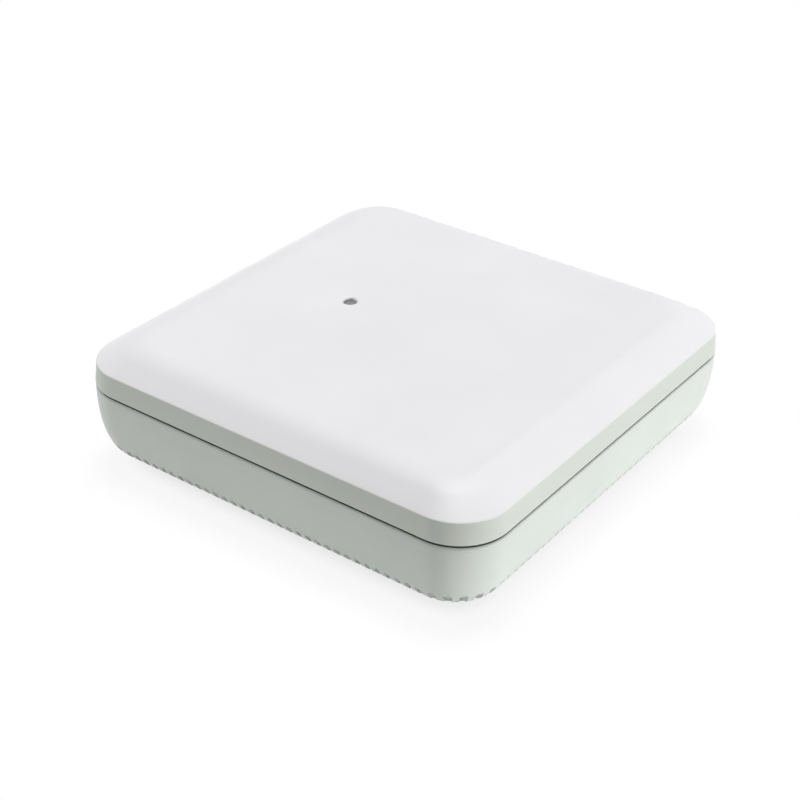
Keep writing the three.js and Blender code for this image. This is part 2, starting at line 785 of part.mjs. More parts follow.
function makeDcJack() {
  const { width, height, depth, boreRadius, boreDepth, pinRadius, boreRise } = dcJack;
  const body = block(width, depth, height, 0, -depth / 2, 0);
  const bore = barrel(boreRadius, boreDepth + overrun, 0, -boreDepth, boreRise);
  const pin = barrel(pinRadius, boreDepth, 0, -boreDepth - overrun, boreRise, shankSides);
  return cut(body, [bore]).add(pin).translate(jackX.dc, bayFaceY + jack.proud, partZ);
}

// A flat USB socket that looks out of the left wall.
function makeUsbJack() {
  const { width, height, depth, skin, bladeWidth, bladeHeight, bladeDepth, mouthDepth, rise, recess } = usb;
  const body = block(depth, width, height, depth / 2, 0, 0);
  const mouthX = (mouthDepth - overrun) / 2;
  const mouth = block(mouthDepth + overrun, width - 2 * skin, height - 2 * skin, mouthX, 0, skin);
  const bladeX = mouthDepth + (overrun - bladeDepth) / 2;
  const bladeLow = height - skin - bladeHeight - skin;
  const blade = block(bladeDepth + overrun, bladeWidth, bladeHeight, bladeX, 0, bladeLow);
  const foot = block(depth - mouthDepth, width, rise + overrun, (depth + mouthDepth) / 2, 0, -rise);
  const turn = Math.asin((rimZ - partZ - rise) / (rimZ - ribTipZ));
  const x = -halfWidth + base.inset * (1 - Math.cos(turn)) + recess;
  return fuse([cut(body, [mouth]), blade, foot]).translate(x, usbY, partZ + rise);
}

// The tactile switch behind the mode button, and the button that reaches out through the wall.
function makeModeSwitch() {
  const { switchWidth, switchHeight, switchDepth, stemRadius, stemLength } = mode;
  const frontY = modeBackY - mode.travel - seatGap;
  const bodyFront = frontY - stemLength;
  const body = block(switchWidth, switchDepth, switchHeight, modeX, bodyFront - switchDepth / 2, partZ);
  return body.add(barrel(stemRadius, stemLength + overrun, modeX, bodyFront - overrun, modeZ, shankSides));
}

function makeModeButton() {
  return fuse([
    barrel(mode.capRadius, bayFaceY + mode.proud - modeBackY, modeX, modeBackY, modeZ),
    barrel(mode.flangeRadius, mode.flangeThickness, modeX, modeFlangeY, modeZ),
  ]);
}

// A pressed shield can with rows of vent holes, open underneath.
function makeShield(sign) {
  const x = sign * shieldX;
  const { width, length, height, wall, ventRadius, ventPitch, ventRows, ventColumns } = shield;
  const can = block(width, length, height, x, shieldY, partZ);
  const depth = height - wall + overrun;
  const inside = block(width - 2 * wall, length - 2 * wall, depth, x, shieldY, partZ - overrun);
  const vents = [];
  for (let row = 0; row < ventRows; row += 1) {
    for (let column = 0; column < ventColumns; column += 1) {
      const ventX = x + (column - (ventColumns - 1) / 2) * ventPitch;
      const ventY = shieldY + (row - (ventRows - 1) / 2) * ventPitch;
      vents.push(drum(ventRadius, height, ventX, ventY, partZ + height / 2, ventSides));
    }
  }
  return cut(can, [inside, ...vents]);
}

function makeTransformer() {
  const y = onBoard([0, transformerShare])[1];
  const { side, height, coreLength, lip } = transformer;
  const bobbin = block(side - 2 * lip, side, height - 2 * lip, powerX, y, partZ + lip);
  const foot = block(side, side, lip, powerX, y, partZ);
  const core = block(side, coreLength, height - lip, powerX, y, partZ + lip);
  return fuse([foot, core, bobbin]);
}

function makeInductor() {
  const { side, height, corner, dimple } = inductor;
  const y = onBoard([0, inductorShare])[1];
  const outline = cutShape(side / 2, -side / 2, side / 2, corner, corner);
  const body = slab(outline, height, partZ).translate(powerX, y, 0);
  return cut(body, [drum(side / 2 - corner, dimple + overrun, powerX, y, partZ + height - dimple)]);
}

function makeCapacitor() {
  const y = onBoard([0, capacitorShare])[1];
  const { radius, height, grooveZ, grooveDepth, grooveHeight } = capacitor;
  const profile = [
    [0, 0],
    [radius, 0],
    [radius, grooveZ],
    [radius - grooveDepth, grooveZ + grooveHeight / 2],
    [radius, grooveZ + grooveHeight],
    [radius, height - grooveDepth],
    [radius - grooveDepth, height],
    [0, height],
  ].map(([r, z]) => new THREE.Vector2(r, z));
  const geometry = new THREE.LatheGeometry(profile, holeSides).rotateX(Math.PI / 2);
  return solidOf(geometry.translate(powerX, y, partZ));
}

// A bent-sheet antenna: foot, riser and roof, with a slot cut down the riser and across the roof.
function makeAntenna(size, x, y, turn) {
  const { width, height, depth, sheet, footDepth, slotWidth, slotShare, tail, roofSlotWidth } = size;
  const profile = polygon([
    [0, 0],
    [footDepth, 0],
    [footDepth, sheet],
    [sheet, sheet],
    [sheet, height - sheet],
    [depth, height - sheet],
    [depth, height],
    [0, height],
  ]);
  const geometry = new THREE.ExtrudeGeometry(profile, { depth: width, bevelEnabled: false });
  const bent = solidOf(geometry.rotateX(Math.PI / 2).translate(0, width / 2, 0));
  const slotLength = slotShare * height;
  const slotLowZ = height - sheet - slotLength;
  const riserSlot = block(sheet + 2 * overrun, slotWidth, slotLength, sheet / 2, -width / 4, slotLowZ);
  const roofSlot = block(depth, roofSlotWidth, slotWidth, depth / 2 + tail, width / 4, height - slotWidth / 2);
  const made = geometryOf(cut(bent, [riserSlot, roofSlot]));
  made.rotateZ(turn).translate(x, y, plateTopZ + seatGap);
  return solidOf(made);
}

// Where each antenna stands, which way it is turned, and which hole its lead goes down.
function antennas() {
  const dualX = spacerX - screw.headRadius - dualScrewGap - dualAntenna.footDepth;
  const dualY = dualShare * plateY;
  const highX = plateX - highEdgeInset;
  const highY = plateY - highEdgeInset;
  const dual = corners.map(([sx, sy], hole) => ({
    name: `dual_band_antenna_${hole + 1}`,
    size: dualAntenna,
    place: [sx * dualX, sy * dualY],
    turn: sx > 0 ? 0 : Math.PI,
    hole,
    side: 1,
  }));
  const high = [
    [0, -highY],
    [highX, 0],
    [0, highY],
    [-highX, 0],
  ].map((place, hole) => ({
    name: `high_band_antenna_${hole + 1}`,
    size: highAntenna,
    place,
    turn: ((hole - 1) * Math.PI) / 2,
    hole,
    side: -1,
  }));
  return [...dual, ...high];
}

// A coaxial lead: from an antenna's riser, over the plate, and down through a hole to its plug on the board.
function makeLead({ place: [x, y], turn, hole, side }) {
  const [holeX, holeY] = leadHolePlaces[hole];
  const downX = holeX + (Math.sign(holeX) * side * lead.apart) / 2;
  const z = plateTopZ + lead.lift + lead.radius;
  const inward = new THREE.Vector3(-Math.cos(turn), -Math.sin(turn), 0);
  const start = new THREE.Vector3(x, y, z).addScaledVector(inward, seatGap);
  const corner = new THREE.Vector3(downX, holeY, z);
  const run = corner.clone().sub(start);
  const pull = run.length() * lead.pullShare;
  const along = run.normalize();
  const bendStart = corner.clone().addScaledVector(along, -lead.bend);
  const bendEnd = new THREE.Vector3(downX, holeY, z - lead.bend);
  const plugTop = new THREE.Vector3(downX, holeY, partZ + lead.plugHeight / 2);
  const leave = start.clone().addScaledVector(inward, pull);
  const arrive = bendStart.clone().addScaledVector(along, -pull);
  const path = new THREE.CurvePath();
  path.add(new THREE.CubicBezierCurve3(start, leave, arrive, bendStart));
  path.add(new THREE.QuadraticBezierCurve3(bendStart, corner, bendEnd));
  path.add(new THREE.LineCurve3(bendEnd, plugTop));
  const section = polygon(
    Array.from({ length: lead.sides }, (_, i) => {
      const angle = (2 * Math.PI * i) / lead.sides;
      return [lead.radius * Math.cos(angle), lead.radius * Math.sin(angle)];
    }),
  );
  const tube = solidOf(new THREE.ExtrudeGeometry(section, { steps: lead.steps, extrudePath: path }));
  return tube.add(drum(lead.plugRadius, lead.plugHeight, downX, holeY, partZ, shankSides));
}

// The assembly
const accessPoint = new THREE.Group();
const add = (name, solid, material) => accessPoint.add(piece(name, solid, material));

add("top_cover", makeCover(), finishes.coverPlastic);
add("base_casting", makeBase(), finishes.basePaint);
add("light_pipe", makeLightPipe(), finishes.lightPipe);
add("status_led", block(led.side, led.side, led.height, led.placeX, 0, partZ), finishes.ledPackage);
add("main_board", makeBoard(), finishes.boardGreen);
add("antenna_plate", makeAntennaPlate(), finishes.aluminium);

hotChips().forEach(({ name, side, place: [x, y] }) => {
  const chipLowZ = boardLowZ - seatGap - chip.thickness;
  const padLowZ = chipLowZ - seatGap - chip.padThickness;
  add(`${name}_chip`, block(side, side, chip.thickness, x, y, chipLowZ), finishes.chipBlack);
  add(`${name}_thermal_pad`, block(side, side, chip.padThickness, x, y, padLowZ), finishes.gapPad);
});

const [memoryX, memoryY] = onBoard(memoryShares);
const [flashX, flashY] = onBoard(flashShares);
const memoryBlock = block(memory.width, memory.length, memory.thickness, memoryX, memoryY, partZ);
const flashBlock = block(flash.width, flash.length, flash.thickness, flashX, flashY, partZ);
add("memory_chip", memoryBlock, finishes.chipBlack);
add("flash_chip", flashBlock, finishes.chipBlack);
add("left_radio_shield", makeShield(-1), finishes.tin);
add("right_radio_shield", makeShield(1), finishes.tin);
add("power_transformer", makeTransformer(), finishes.ferrite);
add("power_inductor", makeInductor(), finishes.ferrite);
add("bulk_capacitor", makeCapacitor(), finishes.aluminium);

["poe", "aux"].forEach((port) => {
  const body = block(magnetics.width, magnetics.length, magnetics.height, jackX[port], magneticsY, partZ);
  add(`${port}_magnetics`, body, finishes.blackPlastic);
});
["poe", "aux", "console"].forEach((port) => add(`${port}_jack`, makeNetworkJack(jackX[port]), finishes.tin));
add("dc_power_jack", makeDcJack(), finishes.blackPlastic);
add("usb_jack", makeUsbJack(), finishes.tin);
add("mode_switch", makeModeSwitch(), finishes.blackPlastic);
add("mode_button", makeModeButton(), finishes.blackPlastic);

antennas().forEach((antenna) => {
  const { name, size, place: [x, y], turn } = antenna;
  add(name, makeAntenna(size, x, y, turn), finishes.tin);
  add(name.replace("antenna", "lead"), makeLead(antenna), finishes.leadJacket);
});

spacerPlaces.forEach((place, i) => {
  add(`board_spacer_${i + 1}`, makeSpacer(place), finishes.brass);
  add(`plate_screw_${i + 1}`, makeScrew(place, plateScrewLength, plateTopZ + seatGap, false), finishes.steel);
});
screwPlaces.forEach((place, i) => {
  const seatZ = rimZ - coverScrew.seatThickness - seatGap;
  add(`cover_screw_${i + 1}`, makeScrew(place, coverScrew.length, seatZ, true), finishes.steel);
});
postPlaces.forEach((place, i) => add(`mounting_post_${i + 1}`, makePost(place), finishes.steel));

export default accessPoint;
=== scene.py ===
import json
import math

import bmesh
import bpy
from mathutils import Matrix, Vector


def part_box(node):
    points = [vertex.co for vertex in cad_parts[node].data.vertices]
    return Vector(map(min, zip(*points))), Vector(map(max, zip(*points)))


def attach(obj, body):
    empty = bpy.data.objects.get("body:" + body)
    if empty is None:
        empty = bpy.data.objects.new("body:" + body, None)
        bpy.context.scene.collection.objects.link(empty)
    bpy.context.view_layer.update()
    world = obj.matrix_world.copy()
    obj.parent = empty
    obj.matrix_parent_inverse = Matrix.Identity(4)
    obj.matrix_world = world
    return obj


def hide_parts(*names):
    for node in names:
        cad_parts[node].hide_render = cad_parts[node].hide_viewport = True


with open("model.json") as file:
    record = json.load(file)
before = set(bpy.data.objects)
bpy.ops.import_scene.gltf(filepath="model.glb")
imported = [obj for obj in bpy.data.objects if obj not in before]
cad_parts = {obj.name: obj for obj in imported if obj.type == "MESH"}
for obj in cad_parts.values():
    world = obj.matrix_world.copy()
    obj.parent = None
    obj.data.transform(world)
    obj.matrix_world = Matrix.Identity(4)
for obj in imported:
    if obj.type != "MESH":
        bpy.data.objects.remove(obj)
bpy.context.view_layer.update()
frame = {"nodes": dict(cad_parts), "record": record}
mm = 0.001
quarter = math.pi / 2
cornerSigns = ((-1, -1), (1, -1), (1, 1), (-1, 1))


# Objects and meshes

def addObject(name, mesh):
    made = bpy.data.objects.new(name, mesh)
    bpy.context.scene.collection.objects.link(made)
    return made


def meshOf(name, bm):
    bmesh.ops.recalc_face_normals(bm, faces=bm.faces)
    mesh = bpy.data.meshes.new(name)
    bm.to_mesh(mesh)
    bm.free()
    return mesh


def applyModifiers(piece):
    graph = bpy.context.evaluated_depsgraph_get()
    mesh = bpy.data.meshes.new_from_object(piece.evaluated_get(graph))
    piece.modifiers.clear()
    old = piece.data
    piece.data = mesh
    bpy.data.meshes.remove(old)
    return piece


def combine(piece, others, operation):
    for other in others:
        modifier = piece.modifiers.new(operation, "BOOLEAN")
        modifier.operation = operation
        modifier.solver = "MANIFOLD"
        modifier.object = other
        applyModifiers(piece)
        bpy.data.objects.remove(other)
    return piece


def carve(piece, cutters):
    return combine(piece, cutters, "DIFFERENCE")


def weld(piece, others):
    return combine(piece, others, "UNION")


def common(piece, other):
    return combine(piece, [other], "INTERSECT")


def roundEdges(piece, width, segments=2, angle=40):
    modifier = piece.modifiers.new("round", "BEVEL")
    modifier.width = width * mm
    modifier.segments = segments
    modifier.limit_method = "ANGLE"
    modifier.angle_limit = math.radians(angle)
    modifier.use_clamp_overlap = True
    return applyModifiers(piece)


def smooth(piece, angle):
    mesh = piece.data
    mesh.shade_smooth()
    mesh.set_sharp_from_angle(angle=math.radians(angle))
    return piece


def paint(piece, *names):
    piece.data.materials.clear()
    for name in names:
        piece.data.materials.append(finishes[name])
    return piece


def settle(piece, body, nodes):
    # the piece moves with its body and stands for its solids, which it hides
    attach(piece, body)
    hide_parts(*nodes)
    return piece


def gather(name, shells):
    # several closed shells as one piece, all in the first shell's finish
    bm = bmesh.new()
    finish = shells[0].data.materials[0]
    for shell in shells:
        bm.from_mesh(shell.data)
        bpy.data.objects.remove(shell)
    for face in bm.faces:
        face.material_index = 0
    mesh = bpy.data.meshes.new(name)
    bm.to_mesh(mesh)
    bm.free()
    mesh.materials.append(finish)
    return addObject(name, mesh)


# Plain forms, sizes in millimetres

def box(name, low, high):
    bm = bmesh.new()
    bmesh.ops.create_cube(bm, size=1)
    for vert in bm.verts:
        vert.co = Vector(((low[i] if vert.co[i] < 0 else high[i]) * mm for i in range(3)))
    return addObject(name, meshOf(name, bm))


def span(middle, width):
    return middle - width / 2, middle + width / 2


def sweep(name, rings):
    # a closed shell through a list of rings, capped at the first and the last
    bm = bmesh.new()
    made = [[bm.verts.new(point * mm) for point in ring] for ring in rings]
    count = len(made[0])
    for lower, upper in zip(made, made[1:]):
        for i in range(count):
            j = (i + 1) % count
            bm.faces.new((lower[i], lower[j], upper[j], upper[i]))
    bm.faces.new(list(reversed(made[0])))
    bm.faces.new(made[-1])
    return addObject(name, meshOf(name, bm))


def lathe(name, profile, x=0, y=0, z=0, steps=48, axis="Z"):
    # a profile of (radius, height) pairs turned round an axis; radius 0 closes an end
    bm = bmesh.new()
    rows = []
    for radius, height in profile:
        if radius == 0:
            rows.append([bm.verts.new((0, 0, height))])
            continue
        angles = [2 * math.pi * i / steps for i in range(steps)]
        ring = [(radius * math.cos(turn), radius * math.sin(turn), height) for turn in angles]
        rows.append([bm.verts.new(spot) for spot in ring])
    for lower, upper in zip(rows, rows[1:]):
        for i in range(steps):
            j = (i + 1) % steps
            corners = [lower[k % len(lower)] for k in (i, j)] + [upper[k % len(upper)] for k in (j, i)]
            corners = list(dict.fromkeys(corners))
            if len(corners) > 2:
                bm.faces.new(corners)
    turn = Matrix.Rotation(-quarter, 4, "X") if axis == "Y" else Matrix()
    place = Matrix.Scale(mm, 4) @ Matrix.Translation((x, y, z)) @ turn
    bmesh.ops.transform(bm, matrix=place, verts=bm.verts)
    return addObject(name, meshOf(name, bm))


def drum(radius, height, x, y, z, steps=48, axis="Z"):
    return lathe("drum", [(0, 0), (radius, 0), (radius, height), (0, height)], x, y, z, steps, axis)


def prism(name, points, start, length):
    # an outline of (x, z) pairs pushed along Y
    return sweep(name, [[Vector((x, y, z)) for x, z in points] for y in (start, start + length)])


def arcPoints(centre, radius, start, end, steps):
    turns = [start + (end - start) * i / steps for i in range(steps + 1)]
    return [(centre[0] + radius * math.cos(t), centre[1] + radius * math.sin(t)) for t in turns]


# Geometry Nodes trees

def startTree(name, sizes):
    tree = bpy.data.node_groups.new(name, "GeometryNodeTree")
    tree.interface.new_socket("Geometry", in_out="OUTPUT", socket_type="NodeSocketGeometry")
    kinds = {int: "NodeSocketInt", float: "NodeSocketFloat", bpy.types.Object: "NodeSocketObject"}
    for label, value in sizes.items():
        tree.interface.new_socket(label, in_out="INPUT", socket_type=kinds[type(value)])
    tree.interface.new_socket("Finish", in_out="INPUT", socket_type="NodeSocketMaterial")
    return tree, tree.nodes.new("NodeGroupInput")


def addNode(tree, kind, links=None, **settings):
    node = tree.nodes.new(kind)
    for key, value in settings.items():
        setattr(node, key, value)
    for socket, value in (links or {}).items():
        if isinstance(value, bpy.types.NodeSocket):
            tree.links.new(value, node.inputs[socket])
        else:
            node.inputs[socket].default_value = value
    return node


def result(tree, kind, links=None, **settings):
    # the first output of a new node
    return addNode(tree, kind, links, **settings).outputs[0]


def sums(tree, operation, first, second):
    return result(tree, "ShaderNodeMath", {0: first, 1: second}, operation=operation)


def vectorOf(tree, **sizes):
    return result(tree, "ShaderNodeCombineXYZ", sizes)


def joinUp(tree, parts):
    joined = tree.nodes.new("GeometryNodeJoinGeometry")
    for part in parts:
        tree.links.new(part, joined.inputs["Geometry"])
    return joined.outputs["Geometry"]


def endTree(tree, start, geometry):
    whole = result(tree, "GeometryNodeRealizeInstances", {"Geometry": geometry})
    links = {"Geometry": whole, "Material": start.outputs["Finish"]}
    end = tree.nodes.new("NodeGroupOutput")
    tree.links.new(result(tree, "GeometryNodeSetMaterial", links), end.inputs["Geometry"])
    return tree


def grow(name, tree, sizes, finish):
    # runs a tree on an empty object and keeps the result as a plain mesh
    piece = addObject(name, bpy.data.meshes.new(name))
    modifier = piece.modifiers.new(name, "NODES")
    modifier.node_group = tree
    values = dict(sizes, Finish=finishes[finish])
    for item in tree.interface.items_tree:
        if item.in_out == "INPUT":
            modifier[item.identifier] = values[item.name]
    return applyModifiers(piece)


# Materials

def newMaterial(name, colour, roughness, metallic=0.0, **sockets):
    material = bpy.data.materials.new(name)
    material.use_nodes = True
    shader = material.node_tree.nodes["Principled BSDF"]
    shader.inputs["Base Color"].default_value = (*colour, 1)
    shader.inputs["Roughness"].default_value = roughness
    shader.inputs["Metallic"].default_value = metallic
    for socket, value in sockets.items():
        shader.inputs[socket.replace("_", " ")].default_value = value
    return material, material.node_tree, shader


def objectPoint(tree, stretch=(1, 1, 1)):
    place = tree.nodes.new("ShaderNodeTexCoord").outputs["Object"]
    return result(tree, "ShaderNodeMapping", {"Vector": place, "Scale": stretch})


def noiseField(tree, point, grain, detail=3.0, distortion=0.0):
    # grain is the size of one fleck in millimetres
    links = {"Vector": point, "Scale": 1 / (grain * mm), "Detail": detail, "Distortion": distortion}
    return result(tree, "ShaderNodeTexNoise", links)


def ranged(tree, value, low, high, fromLow=0.3, fromHigh=0.7):
    links = {"Value": value, "From Min": fromLow, "From Max": fromHigh, "To Min": low, "To Max": high}
    return result(tree, "ShaderNodeMapRange", links)


def twoTone(tree, value, dark, light):
    links = {0: value, 6: (*dark, 1), 7: (*light, 1)}
    return addNode(tree, "ShaderNodeMix", links, data_type="RGBA").outputs[2]


def bump(tree, shader, height, distance):
    links = {"Height": height, "Distance": distance * mm, "Strength": 1.0}
    tree.links.new(result(tree, "ShaderNodeBump", links), shader.inputs["Normal"])


def roughen(tree, shader, value, roughness, spread):
    # roughness follows a field, from the first to the second of two shifts
    tree.links.new(ranged(tree, value, *(roughness + shift for shift in spread)), shader.inputs["Roughness"])


def clouded(tree, shader, point, size, dark, light):
    # the colour drifts between two tones, in clouds of a size in millimetres
    cloud = ranged(tree, noiseField(tree, point, size), 0.0, 1.0)
    tree.links.new(twoTone(tree, cloud, dark, light), shader.inputs["Base Color"])
    return cloud


def shaded(colour, *shares):
    return [tuple(channel * share for channel in colour) for share in shares]


# the band tone below the crease is partly a tint and partly painted shade that darkens the less lit upright sides
coverFinish = {
    "top": (0.802, 0.8, 0.816), "bandTintAndShade": (0.702, 0.742, 0.676), "creaseZ": 53.4,
    "fadeHeight": 0.8, "cloudSize": 45, "cloudShare": (0.985, 1.012), "roughness": 0.5,
    "roughSpread": (-0.05, 0.06), "grain": 0.55, "grainDepth": 0.012,
}


def makeCoverPlastic():
    f = coverFinish
    material, tree, shader = newMaterial("coverPlastic", f["top"], f["roughness"])
    place = tree.nodes.new("ShaderNodeTexCoord").outputs["Object"]
    height = addNode(tree, "ShaderNodeSeparateXYZ", {"Vector": place}).outputs["Z"]
    low, high = f["creaseZ"] * mm, (f["creaseZ"] + f["fadeHeight"]) * mm
    # painted shade: the upright band below the crease takes a darker, greener tone than the top, part tint and part
    # shade
    tone = twoTone(tree, ranged(tree, height, 0.0, 1.0, low, high), f["bandTintAndShade"], f["top"])
    point = objectPoint(tree)
    cloud = ranged(tree, noiseField(tree, point, f["cloudSize"], 2.0), *f["cloudShare"])
    shifted = result(tree, "ShaderNodeHueSaturation", {"Color": tone, "Value": cloud})
    tree.links.new(shifted, shader.inputs["Base Color"])
    grain = noiseField(tree, point, f["grain"], 2.0)
    roughen(tree, shader, grain, f["roughness"], f["roughSpread"])
    bump(tree, shader, grain, f["grainDepth"])
    return material


paintFinish = {
    "dark": (0.74, 0.785, 0.738), "light": (0.772, 0.818, 0.77), "cloudSize": 30,
    "roughness": 0.52, "roughSpread": (-0.06, 0.08), "peel": 0.9, "peelShare": 0.75,
    "peelDepth": 0.02, "speck": 0.35,
}


def makeBasePaint():
    f = paintFinish
    material, tree, shader = newMaterial("basePaint", f["light"], f["roughness"])
    point = objectPoint(tree)
    clouded(tree, shader, point, f["cloudSize"], f["dark"], f["light"])
    peel = sums(tree, "MULTIPLY", noiseField(tree, point, f["peel"], 2.0, 0.3), f["peelShare"])
    speck = noiseField(tree, point, f["speck"], 1.0)
    mixed = sums(tree, "ADD", peel, sums(tree, "MULTIPLY", speck, 1 - f["peelShare"]))
    roughen(tree, shader, speck, f["roughness"], f["roughSpread"])
    bump(tree, shader, mixed, f["peelDepth"])
    return material


def makeMoulded(name, colour, roughness, grain=0.5, depth=0.012, spread=0.12, **sockets):
    # moulded plastic or rubber: a fine spark texture and a little unevenness in tone
    material, tree, shader = newMaterial(name, colour, roughness, **sockets)
    point = objectPoint(tree)
    clouded(tree, shader, point, 9, *shaded(colour, 1 - spread, 1 + spread))
    spark = noiseField(tree, point, grain, 2.0)
    roughen(tree, shader, spark, roughness, (-0.08, 0.1))
    bump(tree, shader, spark, depth)
    return material


def makeMetal(name, colour, roughness, stretch=(1, 1, 1), grain=0.25, depth=0.004, spread=0.08):
    # plated or rolled metal: fine drawn lines along the stretched axis, and clouds in the plating
    material, tree, shader = newMaterial(name, colour, roughness, 1.0)
    lines = noiseField(tree, objectPoint(tree, stretch), grain, 2.0)
    cloud = clouded(tree, shader, objectPoint(tree), 6, *shaded(colour, 1 - spread, 1 + spread / 2))
    plating = ranged(tree, cloud, roughness - 0.04, roughness + 0.06)
    rough = sums(tree, "ADD", ranged(tree, lines, -0.06, 0.06), plating)
    tree.links.new(rough, shader.inputs["Roughness"])
    bump(tree, shader, lines, depth)
    return material


boardFinish = {
    "mask": (0.012, 0.085, 0.04), "copper": (0.03, 0.16, 0.07), "cellSize": 9.6,
    "tracksPerCell": 5.0, "trackStep": (0.46, 0.54), "trackRise": 0.03,
    "roughness": (0.26, 0.4),
}


def makeBoardMaterial():
    f = boardFinish
    material, tree, shader = newMaterial("solderMask", f["mask"], f["roughness"][0])
    point = objectPoint(tree)
    links = {"Vector": point, "Scale": 1 / (f["cellSize"] * mm), "Randomness": 0.85}
    cells = result(tree, "ShaderNodeTexVoronoi", links, distance="MANHATTAN", feature="F1")
    steps = sums(tree, "FRACT", sums(tree, "MULTIPLY", cells, f["tracksPerCell"]), 0.0)
    track = ranged(tree, steps, 0.0, 1.0, *f["trackStep"])
    tree.links.new(twoTone(tree, track, f["mask"], f["copper"]), shader.inputs["Base Color"])
    weave = noiseField(tree, point, 0.5, 2.0)
    roughen(tree, shader, weave, 0, f["roughness"])
    bump(tree, shader, track, f["trackRise"])
    return material


finishes = {
    "cover_plastic": makeCoverPlastic(),
    "base_paint": makeBasePaint(),
    # a near-black finish for the faces in the parting gap: painted shade, not a part of the real object
    "joint": makeMoulded("paintedGapShade", (0.08, 0.09, 0.072), 0.75, 0.4),
    "light_pipe": makeMoulded("smokedLens", (0.2, 0.215, 0.215), 0.22, 3.0, 0.004, 0.1, IOR=1.49),
    "pilot": makeMoulded("pilotLens", (0.42, 0.62, 0.3), 0.18, 2.0, 0.003, 0.08, IOR=1.5),
    "led_package": makeMoulded("ledPackage", (0.85, 0.82, 0.6), 0.4, 0.4),
    "board_green": makeBoardMaterial(),
    "chip_black": makeMoulded("chipEpoxy", (0.018, 0.019, 0.021), 0.42, 0.25, 0.006),
    "tin": makeMetal("tinPlate", (0.66, 0.67, 0.69), 0.3, (1, 8, 1)),
    "steel": makeMetal("zincSteel", (0.5, 0.51, 0.53), 0.34, (1, 1, 6), 0.3),
    "gold": makeMetal("contactGold", (0.83, 0.62, 0.25), 0.25, (1, 5, 1)),
    "brass": makeMetal("turnedBrass", (0.66, 0.47, 0.2), 0.33, (1, 1, 9)),
    "aluminium": makeMetal("rolledAluminium", (0.7, 0.71, 0.73), 0.38, (1, 14, 1)),
    "gap_pad": makeMoulded("gapPad", (0.21, 0.27, 0.38), 0.8, 0.7, 0.03),
    "ferrite": makeMoulded("ferrite", (0.03, 0.031, 0.034), 0.6, 0.35, 0.03),
    "black_plastic": makeMoulded("blackPlastic", (0.022, 0.023, 0.025), 0.45, 0.35, 0.01),
    "lead_jacket": makeMoulded("leadJacket", (0.03, 0.031, 0.034), 0.5, 0.4, 0.01),
}
print("materials made:", len(finishes))


# Housing: the sizes that cover and base share

housing = {
    "halfWidth": 110.0, "halfLength": 110.25, "partingRadius": 24.4, "cornerSteps": 22,
    "ribTipZ": 7.6, "padZ": 6.0, "panelZ": 9.6, "floorZ": 12.2, "rimZ": 42.2,
    "coverLowZ": 43.52, "screwX": 81.5, "screwY": 81.75,
}
partingRadius, ribTipZ, rimZ, coverLowZ = (
    housing[key] for key in ("partingRadius", "ribTipZ", "rimZ", "coverLowZ"))
screwPlaces = [(sx * housing["screwX"], sy * housing["screwY"]) for sx, sy in cornerSigns]


def outline(inset, radius, z):
    across = housing["halfWidth"] - inset - radius
    along = housing["halfLength"] - inset - radius
    ring = []
    for corner, (sx, sy) in enumerate(cornerSigns):
        for step in range(housing["cornerSteps"] + 1):
            turn = math.pi + (corner + step / housing["cornerSteps"]) * quarter
            x, y = sx * across + radius * math.cos(turn), sy * along + radius * math.sin(turn)
            ring.append(Vector((x, y, z)))
    return ring


# Top cover

cover = {
    "wall": 2.4, "lip": 1.3, "rebateTop": 46.2, "lipRound": 0.3, "creaseZ": 53.8,
    "creaseInset": 1.0, "creaseRound": 0.9, "chamferWidth": 8.0, "chamferAngle": 33.0,
    "topZ": 62.5, "radiusShare": 0.55, "domeSteps": 18, "bossRadius": 4.2, "bossLowZ": 42.9,
    "bossBore": 1.7, "bossBoreDepth": 13.3,
}
lamp = {
    "x": -36.7, "y": 0.0, "radius": 3.1, "slip": 0.12, "edgeRound": 1.38, "collarRadius": 6.55,
    "boreRadius": 5.25, "boreDepth": 1.4,
}


def domeProfile(offset):
    # inset and height from the crease up to the flat top, or a parallel line inside it
    slope = math.radians(cover["chamferAngle"])
    rise = cover["topZ"] - cover["creaseZ"]
    bend = (rise - cover["chamferWidth"] * math.tan(slope)) / (1 - math.cos(slope))
    flatInset = cover["creaseInset"] + cover["chamferWidth"] + bend * math.sin(slope)
    centre = cover["topZ"] - bend
    turns = [slope * (1 - i / cover["domeSteps"]) for i in range(cover["domeSteps"] + 1)]
    return [(flatInset - (bend - offset) * math.sin(t), centre + (bend - offset) * math.cos(t)) for t in turns]


def cornerRadius(inset):
    return partingRadius - cover["radiusShare"] * inset


